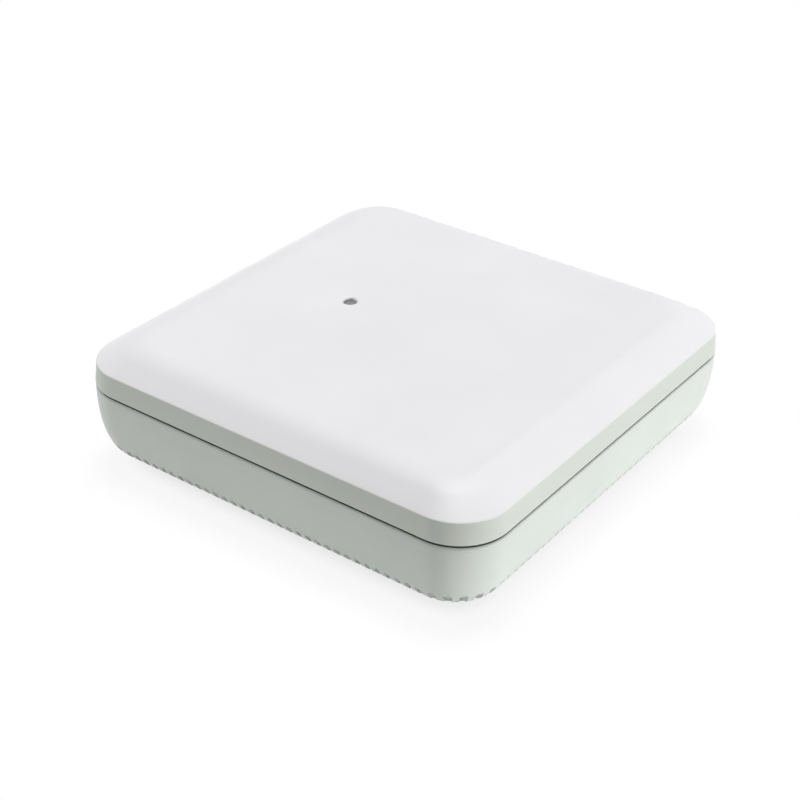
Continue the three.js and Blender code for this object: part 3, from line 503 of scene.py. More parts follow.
def makeCover():
    c = cover
    slope = math.radians(c["chamferAngle"])
    inner = domeProfile(c["wall"])
    innerInset = c["creaseInset"] + c["wall"]
    innerZ = inner[0][1] - (inner[0][0] - innerInset) * math.tan(slope)
    spots = [*reversed(inner), (innerInset, innerZ), (c["wall"], c["rebateTop"])]
    spots += [(c["lip"], c["rebateTop"]), (c["lip"], coverLowZ)]
    spots += arcPoints((c["lipRound"], coverLowZ + c["lipRound"]), c["lipRound"], -quarter, -math.pi, 4)
    # round the crease between the upright band and the chamfer
    lean = math.atan(c["creaseInset"] / (c["creaseZ"] - coverLowZ))
    turn = quarter - lean - slope
    back = c["creaseRound"] * math.tan(turn / 2)
    start = (c["creaseInset"] - back * math.sin(lean), c["creaseZ"] - back * math.cos(lean))
    centre = (start[0] + c["creaseRound"] * math.cos(lean), start[1] - c["creaseRound"] * math.sin(lean))
    spots += arcPoints(centre, c["creaseRound"], math.pi - lean, quarter + slope, 6) + domeProfile(0)
    shell = sweep("topCover", [outline(inset, cornerRadius(inset), z) for inset, z in spots])
    ceiling = c["topZ"] - c["wall"]
    bossHeight = ceiling + 1 - c["bossLowZ"]
    weld(shell, [drum(c["bossRadius"], bossHeight, x, y, c["bossLowZ"]) for x, y in screwPlaces])
    collarZ = ceiling - lamp["boreDepth"]
    weld(shell, [drum(lamp["collarRadius"], lamp["boreDepth"] + 1, lamp["x"], lamp["y"], collarZ)])
    holes = [drum(c["bossBore"], c["bossBoreDepth"] + 1, x, y, c["bossLowZ"] - 1, 24) for x, y in screwPlaces]
    holes.append(drum(lamp["boreRadius"], lamp["boreDepth"] + 1, lamp["x"], lamp["y"], collarZ - 1))
    bore = lamp["radius"] + lamp["slip"]
    edge = lamp["edgeRound"]
    flare = arcPoints((bore + edge, c["topZ"] - edge), edge, math.pi, quarter, 9)
    profile = [(0, ceiling - 1), (bore, ceiling - 1), *flare, (bore + edge, c["topZ"] + 1), (0, c["topZ"] + 1)]
    holes.append(lathe("window", profile, lamp["x"], lamp["y"], 0, 64))
    carve(shell, holes)
    return smooth(shell, 28)


topCover = paint(makeCover(), "cover_plastic")
settle(topCover, "housing", ["top_cover"])
print("cover made:", len(topCover.data.polygons), "faces")


# Base casting

base = {
    "inset": 12.5, "cornerRadius": 16.0, "squareness": 2.5, "wall": 3.2, "wallSteps": 30,
    "innerSteps": 14, "kneeZ": 15.0, "kneeInset": 14.5, "kneeRadius": 14.0, "rimRound": 1.1,
    "tongueTop": 45.6, "tongueInset": 1.55, "gapShadeReach": 84.0, "hubRadius": 7.0,
    "bayWidth": 124.0, "bayFaceY": 60.25, "bayBackY": 108.0, "bayRoofZ": 33.0, "bayWall": 2.2,
    "notchWidth": 92.0, "notchHeight": 13.0, "notchCorner": 5.0, "notchY": 85.0, "notchLength": 30.0,
    "cutX": -112.0, "cutY": 120.0, "cutZ": 2.0,
    "columnRadius": 5.6, "gussetLength": 40.0, "gussetThickness": 2.4, "gussetTop": 35.6,
    "padRadius": 7.0, "bossRadius": 5.0, "bossTop": 13.3, "postBore": 2.25, "postBoreTop": 12.3,
    "spacerSeatRadius": 4.6, "spacerSeatTop": 15.2, "spacerBoreZ": 13.2,
    "pedestalMargin": 1.5, "padGap": 0.3,
    "screwSeatZ": 38.6, "screwHeadBore": 3.05, "screwBore": 1.7, "buttonBore": 2.25,
    "usbSill": 1.4, "usbCut": 6.0, "lockSlot": ((-112, -45.5, 24), (-98, -38.5, 27)),
}
postPlaces = [(-52.0, -57.95), (52.0, -57.95), (52.0, 46.05), (-52.0, 46.05)]
spacerPlaces = [(-84.3, -47.566), (84.3, -47.566), (84.3, 44.25), (-84.3, 44.25)]


def sideSpot(turn, offset=0.0):
    # a point of the base's side: a squarish quarter ellipse, upright at the rim and level at the rib tips
    power = 2 / base["squareness"]
    inset = base["inset"] * (1 - max(0, math.cos(turn)) ** power)
    z = rimZ - (rimZ - ribTipZ) * math.sin(turn) ** power
    radius = partingRadius + (base["cornerRadius"] - partingRadius) * inset / base["inset"]
    return inset + offset, radius - offset, z


def sideRings(lowZ, offset, steps):
    # rings of the side from the rim down to a height
    share = min(1, (rimZ - lowZ) / (rimZ - ribTipZ))
    last = math.asin(share ** (base["squareness"] / 2))
    return [outline(*sideSpot(last * i / steps, offset)) for i in range(steps + 1)]


def liftRing(ring, z):
    return [Vector((point.x, point.y, z)) for point in ring]


def makeBaseShell():
    b = base
    inner = sideRings(b["kneeZ"], b["wall"], b["innerSteps"])
    foot = outline(b["kneeInset"], b["kneeRadius"], housing["floorZ"])
    rings = [foot] + list(reversed(inner)) + [liftRing(inner[0], b["tongueTop"])]
    lip = outline(b["tongueInset"], partingRadius - b["tongueInset"], b["tongueTop"])
    rings += [lip, liftRing(lip, rimZ)]
    edge = b["rimRound"]
    rim = arcPoints((edge, rimZ - edge), edge, quarter, math.pi, 6)
    rings += [outline(inset, partingRadius - inset, z) for inset, z in rim[:-1]]
    rings += sideRings(ribTipZ, 0, b["wallSteps"])[1:]
    return sweep("baseCasting", rings)


def baseInside():
    b = base
    floorZ = housing["floorZ"] - 0.5
    half, wall, thick = b["bayWidth"] / 2 + b["bayWall"], b["bayWall"], b["gussetThickness"] / 2
    low, high = (-half, b["bayFaceY"] - wall, floorZ - 2), (half, b["bayBackY"], b["bayRoofZ"] + wall)
    whole = box("bayBlock", low, high)
    parts = []
    for corner, (x, y) in enumerate(screwPlaces):
        parts.append(drum(b["columnRadius"], rimZ - floorZ, x, y, floorZ))
        gusset = box("gusset", (0, -thick, floorZ), (b["gussetLength"], thick, b["gussetTop"]))
        gusset.data.transform(Matrix.Rotation(math.pi + (corner + 0.5) * quarter, 4, "Z"))
        gusset.data.transform(Matrix.Translation(Vector((x, y, 0)) * mm))
        parts.append(gusset)
    parts += [drum(b["spacerSeatRadius"], b["spacerSeatTop"] - floorZ, x, y, floorZ) for x, y in spacerPlaces]
    parts += [drum(b["bossRadius"], b["bossTop"] - floorZ, x, y, floorZ) for x, y in postPlaces]
    for node in ("processor", "left_radio", "right_radio"):
        low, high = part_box(f"{node}_thermal_pad")
        margin = b["pedestalMargin"] * mm
        low, high = (low - Vector((margin, margin, 0))) / mm, (high + Vector((margin, margin, 0))) / mm
        parts.append(box("pedestal", (low.x, low.y, floorZ), (high.x, high.y, low.z - b["padGap"])))
    weld(whole, parts)
    core = sideRings(ribTipZ, b["wall"] / 2, b["innerSteps"])
    return common(whole, sweep("core", list(reversed(core))))


ribSizes = {
    "Half width": 110.0, "Half length": 110.25, "Reach": 28.0,
    "Web inside": 10.2, "Web outside": 8.6, "Slot end": 1.0,
    "Bend start": 8.8, "Bend end": 4.2, "Run-out height": 5.0,
    "Slots per side": 32, "Slot width": 2.6, "Slot top": 9.6, "Slot depth": 6.5,
    "Fillet": 0.7, "Hub X": 81.5, "Hub Y": 81.75, "Fan slots": 5,
    "Fan start": 9.5, "Fan web inside": 18.4, "Fan web outside": 20.0,
    "Fan reach": 27.6, "Fan bend start": 19.6, "Fan bend end": 25.6,
    "Fan run-out height": 5.9, "Fan width": 3.9, "Fan depth": 13.0,
}
ribSizes = {key: size if isinstance(size, int) else size * mm for key, size in ribSizes.items()}


def slotProfile(tree, width, depth, fillet):
    # a rectangle that hangs from its top edge, with its two upper corners rounded
    plain = result(tree, "GeometryNodeCurvePrimitiveQuadrilateral", {"Width": width, "Height": depth})
    links = {"Curve": plain, "Radius": fillet, "Count": 4}
    rounded = result(tree, "GeometryNodeFilletCurve", links, mode="POLY")
    down = vectorOf(tree, Y=sums(tree, "MULTIPLY", depth, 0.5))
    return result(tree, "GeometryNodeTransform", {"Geometry": rounded, "Translation": down})


def alongX(tree):
    spot = result(tree, "GeometryNodeInputPosition")
    return result(tree, "ShaderNodeSeparateXYZ", {"Vector": spot})


def sweptSlot(tree, spans, bend, profile):
    # slots swept level along X over each span, then lifted out of the side between the bends
    swept = []
    for first, last in spans:
        ends = {"Start": vectorOf(tree, X=first), "End": vectorOf(tree, X=last)}
        line = result(tree, "GeometryNodeCurvePrimitiveLine", ends)
        path = result(tree, "GeometryNodeResampleCurve", {"Curve": line, "Count": 32})
        swept.append(result(tree, "GeometryNodeCurveToMesh", {"Curve": path, "Fill Caps": True, **profile}))
    start, end, rise = bend
    ramp = {"Value": alongX(tree), "From Min": start, "From Max": end, "To Min": 0.0, "To Max": rise}
    up = vectorOf(tree, Z=result(tree, "ShaderNodeMapRange", ramp, interpolation_type="SMOOTHSTEP"))
    return result(tree, "GeometryNodeSetPosition", {"Geometry": joinUp(tree, swept), "Offset": up})


def makeRibTree(sizes):
    tree, start = startTree("ribSlots", sizes)
    size = start.outputs
    top = size["Slot top"]
    # one straight slot along X: a channel inside the web that ties the ribs, and a scoop outside it
    profile = slotProfile(tree, size["Slot width"], size["Slot depth"], size["Fillet"])
    bend = size["Bend start"], size["Bend end"], size["Run-out height"]
    spans = (size["Reach"], size["Web inside"]), (size["Web outside"], size["Slot end"])
    slot = sweptSlot(tree, spans, bend, {"Profile Curve": profile})
    rows = []
    acrossX, alongY = ("Half width", "Hub Y"), ("Half length", "Hub X")
    for turn, (half, hub) in zip((0.0, quarter, math.pi, -quarter), (acrossX, alongY) * 2):
        x, y = (sums(tree, "MULTIPLY", size[key], -1.0) for key in (half, hub))
        ends = {"Start": vectorOf(tree, X=x, Y=y, Z=top), "End": vectorOf(tree, X=x, Y=size[hub], Z=top)}
        line = result(tree, "GeometryNodeCurvePrimitiveLine", ends)
        spots = result(tree, "GeometryNodeCurveToPoints", {"Curve": line, "Count": size["Slots per side"]})
        row = result(tree, "GeometryNodeInstanceOnPoints", {"Points": spots, "Instance": slot})
        rows.append(result(tree, "GeometryNodeTransform", {"Geometry": row, "Rotation": (0, 0, turn)}))
    # a fan of slots that widen away from each hub, in even steps between the two straight rows
    bend = size["Fan bend start"], size["Fan bend end"], size["Fan run-out height"]
    spans = (size["Fan start"], size["Fan web inside"]), (size["Fan web outside"], size["Fan reach"])
    fillet = sums(tree, "MULTIPLY", size["Fillet"], 1.6)
    profile = slotProfile(tree, size["Fan width"], size["Fan depth"], fillet)
    share = sums(tree, "DIVIDE", alongX(tree), size["Fan reach"])
    fan = sweptSlot(tree, spans, bend, {"Profile Curve": profile, "Scale": share})
    index = sums(tree, "ADD", result(tree, "GeometryNodeInputIndex"), 1.0)
    part = sums(tree, "DIVIDE", index, sums(tree, "ADD", size["Fan slots"], 1.0))
    opening = sums(tree, "MULTIPLY", part, quarter)
    for corner, (sx, sy) in enumerate(cornerSigns):
        hubX = sums(tree, "MULTIPLY", size["Hub X"], float(sx))
        hubY = sums(tree, "MULTIPLY", size["Hub Y"], float(sy))
        links = {"Count": size["Fan slots"], "Position": vectorOf(tree, X=hubX, Y=hubY, Z=top)}
        points = result(tree, "GeometryNodePoints", links)
        turned = vectorOf(tree, Z=sums(tree, "ADD", opening, math.pi + corner * quarter))
        links = {"Points": points, "Instance": fan, "Rotation": turned}
        rows.append(result(tree, "GeometryNodeInstanceOnPoints", links))
    return endTree(tree, start, joinUp(tree, rows))


def makeSlotCutter():
    slots = grow("slotCutter", makeRibTree(ribSizes), ribSizes, "base_paint")
    bm = bmesh.new()
    bm.from_mesh(slots.data)
    bmesh.ops.remove_doubles(bm, verts=bm.verts, dist=0.001 * mm)
    bmesh.ops.recalc_face_normals(bm, faces=bm.faces)
    bm.to_mesh(slots.data)
    bm.free()
    # the hubs round the cover screws stay whole
    hubs = [drum(base["hubRadius"], 40, x, y, housing["panelZ"] - 30) for x, y in screwPlaces]
    return carve(slots, hubs)


def makePanelCutter():
    low = (-housing["screwX"], -housing["screwY"], ribTipZ - 3)
    high = (housing["screwX"], housing["screwY"], housing["panelZ"])
    hubs = [drum(base["hubRadius"], 20, x, y, -5) for x, y in screwPlaces]
    return carve(box("panelCutter", low, high), hubs)


def makeBayCutters():
    b = base
    half = b["bayWidth"] / 2
    space = box("baySpace", (-half, b["bayFaceY"], b["cutZ"]), (half, b["cutY"], b["bayRoofZ"]))
    inner = sideRings(ribTipZ, b["wall"], b["innerSteps"])
    inner.append(liftRing(inner[-1], 1))
    common(space, sweep("hollow", list(reversed(inner))))
    x, y, r = b["notchWidth"] / 2, ribTipZ + b["notchHeight"], b["notchCorner"]
    points = [(-x, b["cutZ"]), (x, b["cutZ"])]
    points += arcPoints((x - r, y - r), r, 0, quarter, 10)
    points += arcPoints((-x + r, y - r), r, quarter, math.pi, 10)
    return [space, prism("notch", points, b["notchY"], b["notchLength"])]


def windowCutter(node, axis, slip=0.25):
    low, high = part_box(node)
    low, high = low / mm, high / mm
    grown = [(low[i] - slip, high[i] + slip) for i in range(3)]
    if axis == "Y":
        grown[1] = (base["bayFaceY"] - base["bayWall"] - 1, base["bayFaceY"] + 1)
    else:
        grown[0] = (base["cutX"], low.x + base["usbCut"])
        grown[2] = (low.z + base["usbSill"] - slip, high.z + slip)
    return box(node + "Window", *zip(*grown))


def makeBase():
    b = base
    whole = weld(makeBaseShell(), [baseInside()])
    print("base shell made")
    cutters = [makePanelCutter(), makeSlotCutter(), *makeBayCutters()]
    cutters += [windowCutter(node, "Y") for node in ("dc_power_jack", "poe_jack", "aux_jack", "console_jack")]
    cutters += [windowCutter("usb_jack", "X"), box("lockSlot", *b["lockSlot"])]
    buttonLow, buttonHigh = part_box("mode_button")
    buttonX, buttonZ = (buttonLow + buttonHigh).x / 2 / mm, (buttonLow + buttonHigh).z / 2 / mm
    behind = b["bayFaceY"] - b["bayWall"] - 1
    cutters.append(drum(b["buttonBore"], b["bayWall"] + 2, buttonX, behind, buttonZ, 32, "Y"))
    for x, y in screwPlaces:
        cutters.append(drum(b["screwHeadBore"], b["screwSeatZ"], x, y, 0, 40))
        cutters.append(drum(b["screwBore"], 8, x, y, b["screwSeatZ"] - 1, 24))
    cutters += [drum(b["postBore"], b["postBoreTop"], x, y, 0, 24) for x, y in postPlaces]
    cutters += [drum(b["screwBore"], 3, x, y, b["spacerBoreZ"], 24) for x, y in spacerPlaces]
    carve(whole, cutters[:4])
    padHeight = housing["floorZ"] - housing["padZ"]
    pads = [drum(b["padRadius"], padHeight, x, y, housing["padZ"]) for x, y in postPlaces]
    carve(weld(whole, pads), cutters[4:])
    print("base cut:", len(whole.data.polygons), "faces")
    return whole


baseCasting = smooth(paint(makeBase(), "base_paint", "joint"), 30)
# the faces in the parting gap take a near-black finish: painted shade that deepens the shadow in the gap
for face in baseCasting.data.polygons:
    spot = face.center / mm
    inGapShade = spot.z > rimZ - 0.02 and max(abs(spot.x), abs(spot.y)) > base["gapShadeReach"]
    face.material_index = 1 if inGapShade else 0
settle(baseCasting, "housing", ["base_casting"])


# Light pipe: a smoked lens with a rim, on its stem

pipe = {
    "lowZ": 19.2, "stemRadius": 2.3, "flangeLow": 58.7, "flangeTop": 59.8, "flangeRadius": 5.0,
    "topZ": 61.3, "rim": 0.5, "dish": 0.25, "edge": 0.2,
    "dishSteps": (0.96, 0.75, 0.5, 0.25, 0),
}


def makeLightPipe():
    p = pipe
    stem, flange, edge, top = p["stemRadius"], p["flangeRadius"], p["edge"], p["topZ"]
    rim = arcPoints((lamp["radius"] - p["rim"] / 2, top - p["rim"] / 2), p["rim"] / 2, 0, math.pi, 8)
    profile = [(0, p["lowZ"]), (stem - edge, p["lowZ"]), (stem, p["lowZ"] + edge), (stem, p["flangeLow"])]
    profile += [(flange, p["flangeLow"]), (flange, p["flangeTop"]), (lamp["radius"], p["flangeTop"]), *rim]
    inner = lamp["radius"] - p["rim"]
    profile += [(inner * r, top - p["dish"] * (1 - 0.35 * (1 - r) ** 0.5)) for r in p["dishSteps"]]
    return lathe("lightPipe", profile, lamp["x"], lamp["y"], 0, 48)


settle(smooth(paint(makeLightPipe(), "light_pipe"), 40), "housing", ["light_pipe"])


# Sockets in the cable bay

port = {
    "skin": 0.35, "insertBack": 0.5, "mouthWidth": 11.9, "mouthRise": 4.9, "mouthHeight": 7.0,
    "mouthDepth": 13.0, "latchWidth": 6.3, "latchHeight": 1.7, "tabWidth": 3.4,
    "tabHeight": 1.5, "leadIn": 0.3, "fingerShift": 4.0, "fingerWidth": 2.2,
    "fingerReach": (6.5, 1.5), "fingerHeight": (-0.2, 0.22), "lensShift": 5.75, "lensRise": 1.3,
    "lensWidth": 3.0, "lensHeight": 2.2, "slip": 0.08,
}
contactSizes = {"Contacts": 8, "Contact pitch": 1.02 * mm, "Wire radius": 0.23 * mm}
contactSpots = [(-1.0, -0.35), (-2.4, -0.45), (-3.2, -0.7), (-9.6, -3.3), (-10.6, -3.35), (-12.6, -2.2)]


def makeContactTree(sizes):
    # a row of bent spring wires, side by side along X
    tree, start = startTree("contactRow", sizes)
    size = start.outputs
    section = result(tree, "GeometryNodeCurvePrimitiveCircle", {"Resolution": 6, "Radius": size["Wire radius"]})
    bends = [(0, y * mm, z * mm) for y, z in contactSpots]
    wires = []
    for here, there in zip(bends, bends[1:]):
        line = result(tree, "GeometryNodeCurvePrimitiveLine", {"Start": here, "End": there})
        links = {"Curve": line, "Profile Curve": section, "Fill Caps": True}
        wires.append(result(tree, "GeometryNodeCurveToMesh", links))
    width = sums(tree, "MULTIPLY", sums(tree, "SUBTRACT", size["Contacts"], 1.0), size["Contact pitch"])
    first = vectorOf(tree, X=sums(tree, "MULTIPLY", width, -0.5))
    step = vectorOf(tree, X=size["Contact pitch"])
    links = {"Count": size["Contacts"], "Start Location": first, "Offset": step}
    line = result(tree, "GeometryNodeMeshLine", links, mode="OFFSET")
    links = {"Points": line, "Instance": joinUp(tree, wires)}
    return endTree(tree, start, result(tree, "GeometryNodeInstanceOnPoints", links))


contactTree = makeContactTree(contactSizes)


def mouthOutline(x, z, margin=0.0):
    # the plug's opening with the two steps for its latch
    w, l, t = (port[key] / 2 + margin for key in ("mouthWidth", "latchWidth", "tabWidth"))
    low = z + port["mouthRise"] - margin
    top = z + port["mouthRise"] + port["mouthHeight"] + margin
    mid, bottom = low - port["latchHeight"], low - port["latchHeight"] - port["tabHeight"]
    half = [(t, bottom), (t, mid), (l, mid), (l, low), (w, low), (w, top)]
    return [(x + a, u) for a, u in half] + [(x - a, u) for a, u in reversed(half)]


def makeNetworkPort(node):
    p = port
    low, high = (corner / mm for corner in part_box(node))
    x, skin, slip = (low.x + high.x) / 2, p["skin"], p["slip"]
    shell = roundEdges(box("portShell", low, high), 0.35, 2)
    inside = [(low.x + skin, low.y + skin, low.z + skin), (high.x - skin, high.y + 1, high.z - skin)]
    carve(shell, [box("inside", *inside)])
    # two spring fingers pressed out of the shell's roof
    back, front = (high.y - reach for reach in p["fingerReach"])
    under, over = (high.z + rise for rise in p["fingerHeight"])
    for side in (-1, 1):
        left, right = span(x + side * p["fingerShift"], p["fingerWidth"])
        weld(shell, [box("finger", (left, back, under), (right, front, over))])
    paint(shell, "tin")
    margin = skin + slip
    front = high.y - p["insertBack"]
    inside = [(low.x + margin, low.y + margin, low.z + margin), (high.x - margin, front, high.z - margin)]
    insert = box("insert", *inside)
    cutters = [prism("mouth", mouthOutline(x, low.z), front - p["mouthDepth"], p["mouthDepth"] + 1)]
    cutters.append(prism("lead-in", mouthOutline(x, low.z, p["leadIn"]), front - 0.35, 2))
    lenses = []
    for side in (-1, 1):
        left, right = span(x + side * p["lensShift"], p["lensWidth"])
        foot, top = low.z + p["lensRise"], low.z + p["lensRise"] + p["lensHeight"]
        cutters.append(box("lensHole", (left, front - 1.6, foot), (right, front + 1, top)))
        lens = box("lens", (left + slip, front - 1.5, foot + slip), (right - slip, front + 0.12, top - slip))
        lenses.append(paint(roundEdges(lens, 0.25, 3), "pilot"))
    carve(insert, cutters)
    paint(insert, "black_plastic")
    contacts = grow("contacts", contactTree, contactSizes, "gold")
    roof = low.z + p["mouthRise"] + p["mouthHeight"]
    contacts.data.transform(Matrix.Translation(Vector((x, front, roof)) * mm))
    name = node.replace("_j", "J")
    settle(smooth(gather(name, [shell, *lenses]), 30), "housing", [node])
    settle(smooth(gather(name + "Insert", [insert, contacts]), 30), "housing", [node])


for node in ("poe_jack", "aux_jack", "console_jack"):
    makeNetworkPort(node)
print("network sockets made")


# Low-voltage power socket

dc = {
    "boreRadius": 3.15, "boreDepth": 9.5, "boreRise": 6.2, "lead": 0.5, "pinRadius": 1.05,
    "pinBack": 1.2,
    "pinNose": ((0.98, -0.25), (0.72, -0.07), (0.45, 0.0), (0, 0.02)),
    "leafWidth": 2.6, "leafDrop": 3.0, "leafThickness": 0.25, "leafLength": 7.0, "leafAngle": 4,
}


def makePowerPort():
    low, high = (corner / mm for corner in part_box("dc_power_jack"))
    x, z, bore = (low.x + high.x) / 2, low.z + dc["boreRise"], dc["boreRadius"]
    body = roundEdges(box("powerBody", low, high), 0.3, 2)
    back, mouth = high.y - dc["boreDepth"], bore + dc["lead"]
    flare = [(0, back), (bore, back), (bore, high.y - dc["lead"])]
    flare += [(mouth, high.y), (mouth, high.y + 1), (0, high.y + 1)]
    carve(body, [lathe("bore", flare, x, 0, z, 48, "Y")])
    paint(body, "black_plastic")
    tip = high.y - dc["pinBack"]
    pin = [(0, back - 1), (dc["pinRadius"], back - 1), (dc["pinRadius"], tip - 0.5)]
    pin += [(radius, tip + height) for radius, height in dc["pinNose"]]
    pin = paint(lathe("pin", pin, x, 0, z, 32, "Y"), "steel")
    # the leaf spring under the pin
    left, right = span(x, dc["leafWidth"])
    foot, top = z - dc["leafDrop"], z - dc["leafDrop"] + dc["leafThickness"]
    ends = [(left, foot), (right, foot), (right, top), (left, top)]
    leaf = prism("leaf", ends, back + 0.5, dc["leafLength"])
    ramp = Matrix.Rotation(math.radians(dc["leafAngle"]), 4, "X")
    centre = Matrix.Translation(Vector((x, back, foot)) * mm)
    leaf.data.transform(centre @ ramp @ centre.inverted())
    paint(roundEdges(leaf, 0.08, 2), "tin")
    return smooth(gather("dcPowerJack", [body, pin, leaf]), 30)


settle(makePowerPort(), "housing", ["dc_power_jack"])


# USB socket in the left side

usb = {
    "rise": 1.4, "skin": 0.4, "mouthDepth": 10.5, "bladeWidth": 10.8, "bladeHeight": 1.9,
    "bladeDepth": 8.8, "tongueShift": 2.9, "tongueWidth": 1.6, "tongueSlit": 0.3,
    "tongueEnd": 8.2, "strips": (-3.5, -1.0, 1.0, 3.5), "stripWidth": 1.0,
}


def makeUsbPort():
    u = usb
    low, high = (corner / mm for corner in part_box("usb_jack"))
    floorZ, end, top = low.z + u["rise"], low.x + u["mouthDepth"], high.z - 2 * u["skin"]
    skin, y, slit = u["skin"], (low.y + high.y) / 2, u["tongueSlit"]
    shell = roundEdges(box("usbShell", (low.x, low.y, floorZ), high), 0.5, 3)
    mouth = box("usbMouth", (low.x - 1, low.y + skin, floorZ + skin), (end, high.y - skin, high.z - skin))
    carve(shell, [roundEdges(mouth, 0.25, 2)])
    # two spring tongues cut in the roof, seen from inside as bright strips
    tongues = []
    for side in (-1, 1):
        left, right = span(y + side * u["tongueShift"], u["tongueWidth"])
        tip, root = low.x + 2.2, low.x + u["tongueEnd"]
        carve(shell, [box("slot", (tip, left - slit, high.z - 1), (root, right + slit, high.z + 1))])
        tongue = box("tongue", (tip + slit, left, high.z - 0.32), (root, right, high.z - 0.08))
        tongues.append(paint(tongue, "tin"))
    paint(shell, "tin")
    foot = box("foot", (end, low.y, low.z), (high.x, high.y, floorZ + 0.3))
    tip, under = end - u["bladeDepth"], top - u["bladeHeight"]
    left, right = span(y, u["bladeWidth"])
    blade = box("blade", (tip, left, under), (end + 0.5, right, top))
    paint(roundEdges(blade, 0.3, 3), "black_plastic")
    strips = []
    for offset in u["strips"]:
        left, right = span(y + offset, u["stripWidth"])
        strip = box("strip", (tip + 0.9, left, under - 0.07), (end - 0.2, right, under + 0.15))
        strips.append(paint(roundEdges(strip, 0.05, 1), "gold"))
    parts = [shell, paint(roundEdges(foot, 0.2, 2), "black_plastic"), *tongues, blade, *strips]
    return smooth(gather("usbJack", parts), 30)


settle(makeUsbPort(), "housing", ["usb_jack"])
print("power and USB sockets made")


# Mode button: a dished cap on a flange, and it slides into the wall

button = {
    "capRadius": 2.0, "flangeRadius": 3.1, "flangeThickness": 1.0, "tail": 1.0, "round": 0.4,
    "dish": 0.28, "edge": 0.15, "dishSteps": (0.9, 0.7, 0.5, 0.25, 0),
}


def makeButton():
    low, high = (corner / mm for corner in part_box("mode_button"))
    x, z = (low.x + high.x) / 2, (low.z + high.z) / 2
    b = button
    cap, flange, edge, bend = b["capRadius"], b["flangeRadius"], b["edge"], b["round"]
    back = low.y + b["tail"]
    front = back + b["flangeThickness"]
    profile = [(0, low.y), (cap - edge, low.y), (cap, low.y + edge), (cap, back), (flange - edge, back)]
    profile += [(flange, back + edge), (flange, front - edge), (flange - edge, front), (cap, front)]
    profile += arcPoints((cap - bend, high.y - bend), bend, 0, quarter, 5)
    inner = cap - bend - 0.1
    profile += [(inner * share, high.y - b["dish"] * (1 - share * share)) for share in b["dishSteps"]]
    return lathe("modeButton", profile, x, 0, z, 40, "Y")


settle(smooth(paint(makeButton(), "black_plastic"), 35), "mode_button", ["mode_button"])


# Fasteners: one of each kind is turned, and a tree sets it at the four corners

def makeCornerTree(sizes):
    tree, start = startTree("fourCorners", sizes)
    size = start.outputs
    links = {"Size X": size["Across"], "Size Y": size["Along"], "Vertices X": 2, "Vertices Y": 2}
    grid = result(tree, "GeometryNodeMeshGrid", links)
    shift = vectorOf(tree, Y=size["Middle"], Z=size["Level"])
    places = result(tree, "GeometryNodeTransform", {"Geometry": grid, "Translation": shift})
    pattern = addNode(tree, "GeometryNodeObjectInfo", {"Object": size["Pattern"], "As Instance": True})
    links = {"Points": places, "Instance": pattern.outputs["Geometry"]}
    return endTree(tree, start, result(tree, "GeometryNodeInstanceOnPoints", links))


def fourOf(name, pattern, spots, level, slot, node):
    xs, ys = zip(*spots)
    sizes = {
        "Across": (max(xs) - min(xs)) * mm,
        "Along": (max(ys) - min(ys)) * mm,
        "Middle": (max(ys) + min(ys)) / 2 * mm,
        "Level": level * mm,
        "Pattern": pattern,
    }
    piece = grow(name, makeCornerTree(sizes), sizes, slot)
    bpy.data.objects.remove(pattern)
    settle(smooth(piece, 30), "housing", [f"{node}_{i}" for i in range(1, 5)])


def thread(radius, depth, start, step, count):
    # crests and roots of a thread by turns
    return [(radius - depth * (i % 2), start + i * step) for i in range(count)]


post = {
    "headRadius": 5.0, "headHeight": 2.4, "neckRadius": 3.0, "shankRadius": 2.0, "seat": 5.7,
    "end": 11.7, "edge": 0.6, "recess": (1.9, 1.1), "threadDepth": 0.25, "threadStep": 0.35,
}


def turnPost():
    p = post
    head, neck, shank, seat, end = (p[key] for key in ("headRadius", "neckRadius", "shankRadius", "seat", "end"))
    recess, depth = p["recess"]
    turns = int((end - seat - 0.6) / p["threadStep"])
    profile = [(0, depth), (recess, depth), (recess, 0.0), (head - p["edge"], 0.0), (head, p["edge"])]
    profile += [(head, p["headHeight"] - 0.25), (head - 0.25, p["headHeight"])]
    profile += [(neck + 0.4, p["headHeight"]), (neck, p["headHeight"] + 0.4)]
    profile += [(neck, seat - 0.2), (neck - 0.2, seat), (shank, seat)]
    profile += thread(shank, p["threadDepth"], seat + 0.3, p["threadStep"], turns)
    profile += [(shank - 0.5, end), (0, end)]
    return lathe("postPattern", profile, steps=40)


screw = {
    "headRadius": 2.8, "headHeight": 1.9, "crown": 2.2, "shank": 1.45, "socket": 1.3,
    "socketDepth": 1.2, "threadDepth": 0.22, "threadStep": 0.3, "coverLength": 13.0,
    "coverLevel": 38.3, "plateLength": 6.0, "plateLevel": 41.5,
}


def turnScrew(length, up):
    # a pan head on z 0 with a hexagon socket, and a threaded shank below it
    c = screw
    head, height, shank, crown = c["headRadius"], c["headHeight"], c["shank"], c["crown"]
    turns = int((length - 0.8) / c["threadStep"])
    profile = [(0, -length), (shank - 0.5, -length)]
    profile += thread(shank, c["threadDepth"], -length + 0.4, c["threadStep"], turns)
    profile += [(shank, 0), (head - 0.1, 0), (head, 0.15), (head, height * 0.5), (head - 0.15, height * 0.75)]
    profile += [(crown + 0.1, height * 0.95), (crown - 0.3, height), (0, height)]
    made = lathe("screwPattern", profile, steps=36)
    depth = height - c["socketDepth"]
    carve(made, [lathe("socket", [(0, depth), (c["socket"], depth), (c["socket"], 5), (0, 5)], steps=6)])
    if up:
        made.data.transform(Matrix.Rotation(math.pi, 4, "X"))
    return made


spacer = {
    "flats": 5.5, "height": 22.3, "stud": 1.45, "studLength": 3.6, "bore": 1.7,
    "boreDepth": 8.0, "edge": 0.35, "threadDepth": 0.2, "threadStep": 0.3, "threadRows": 10,
    "level": 17.4,
}


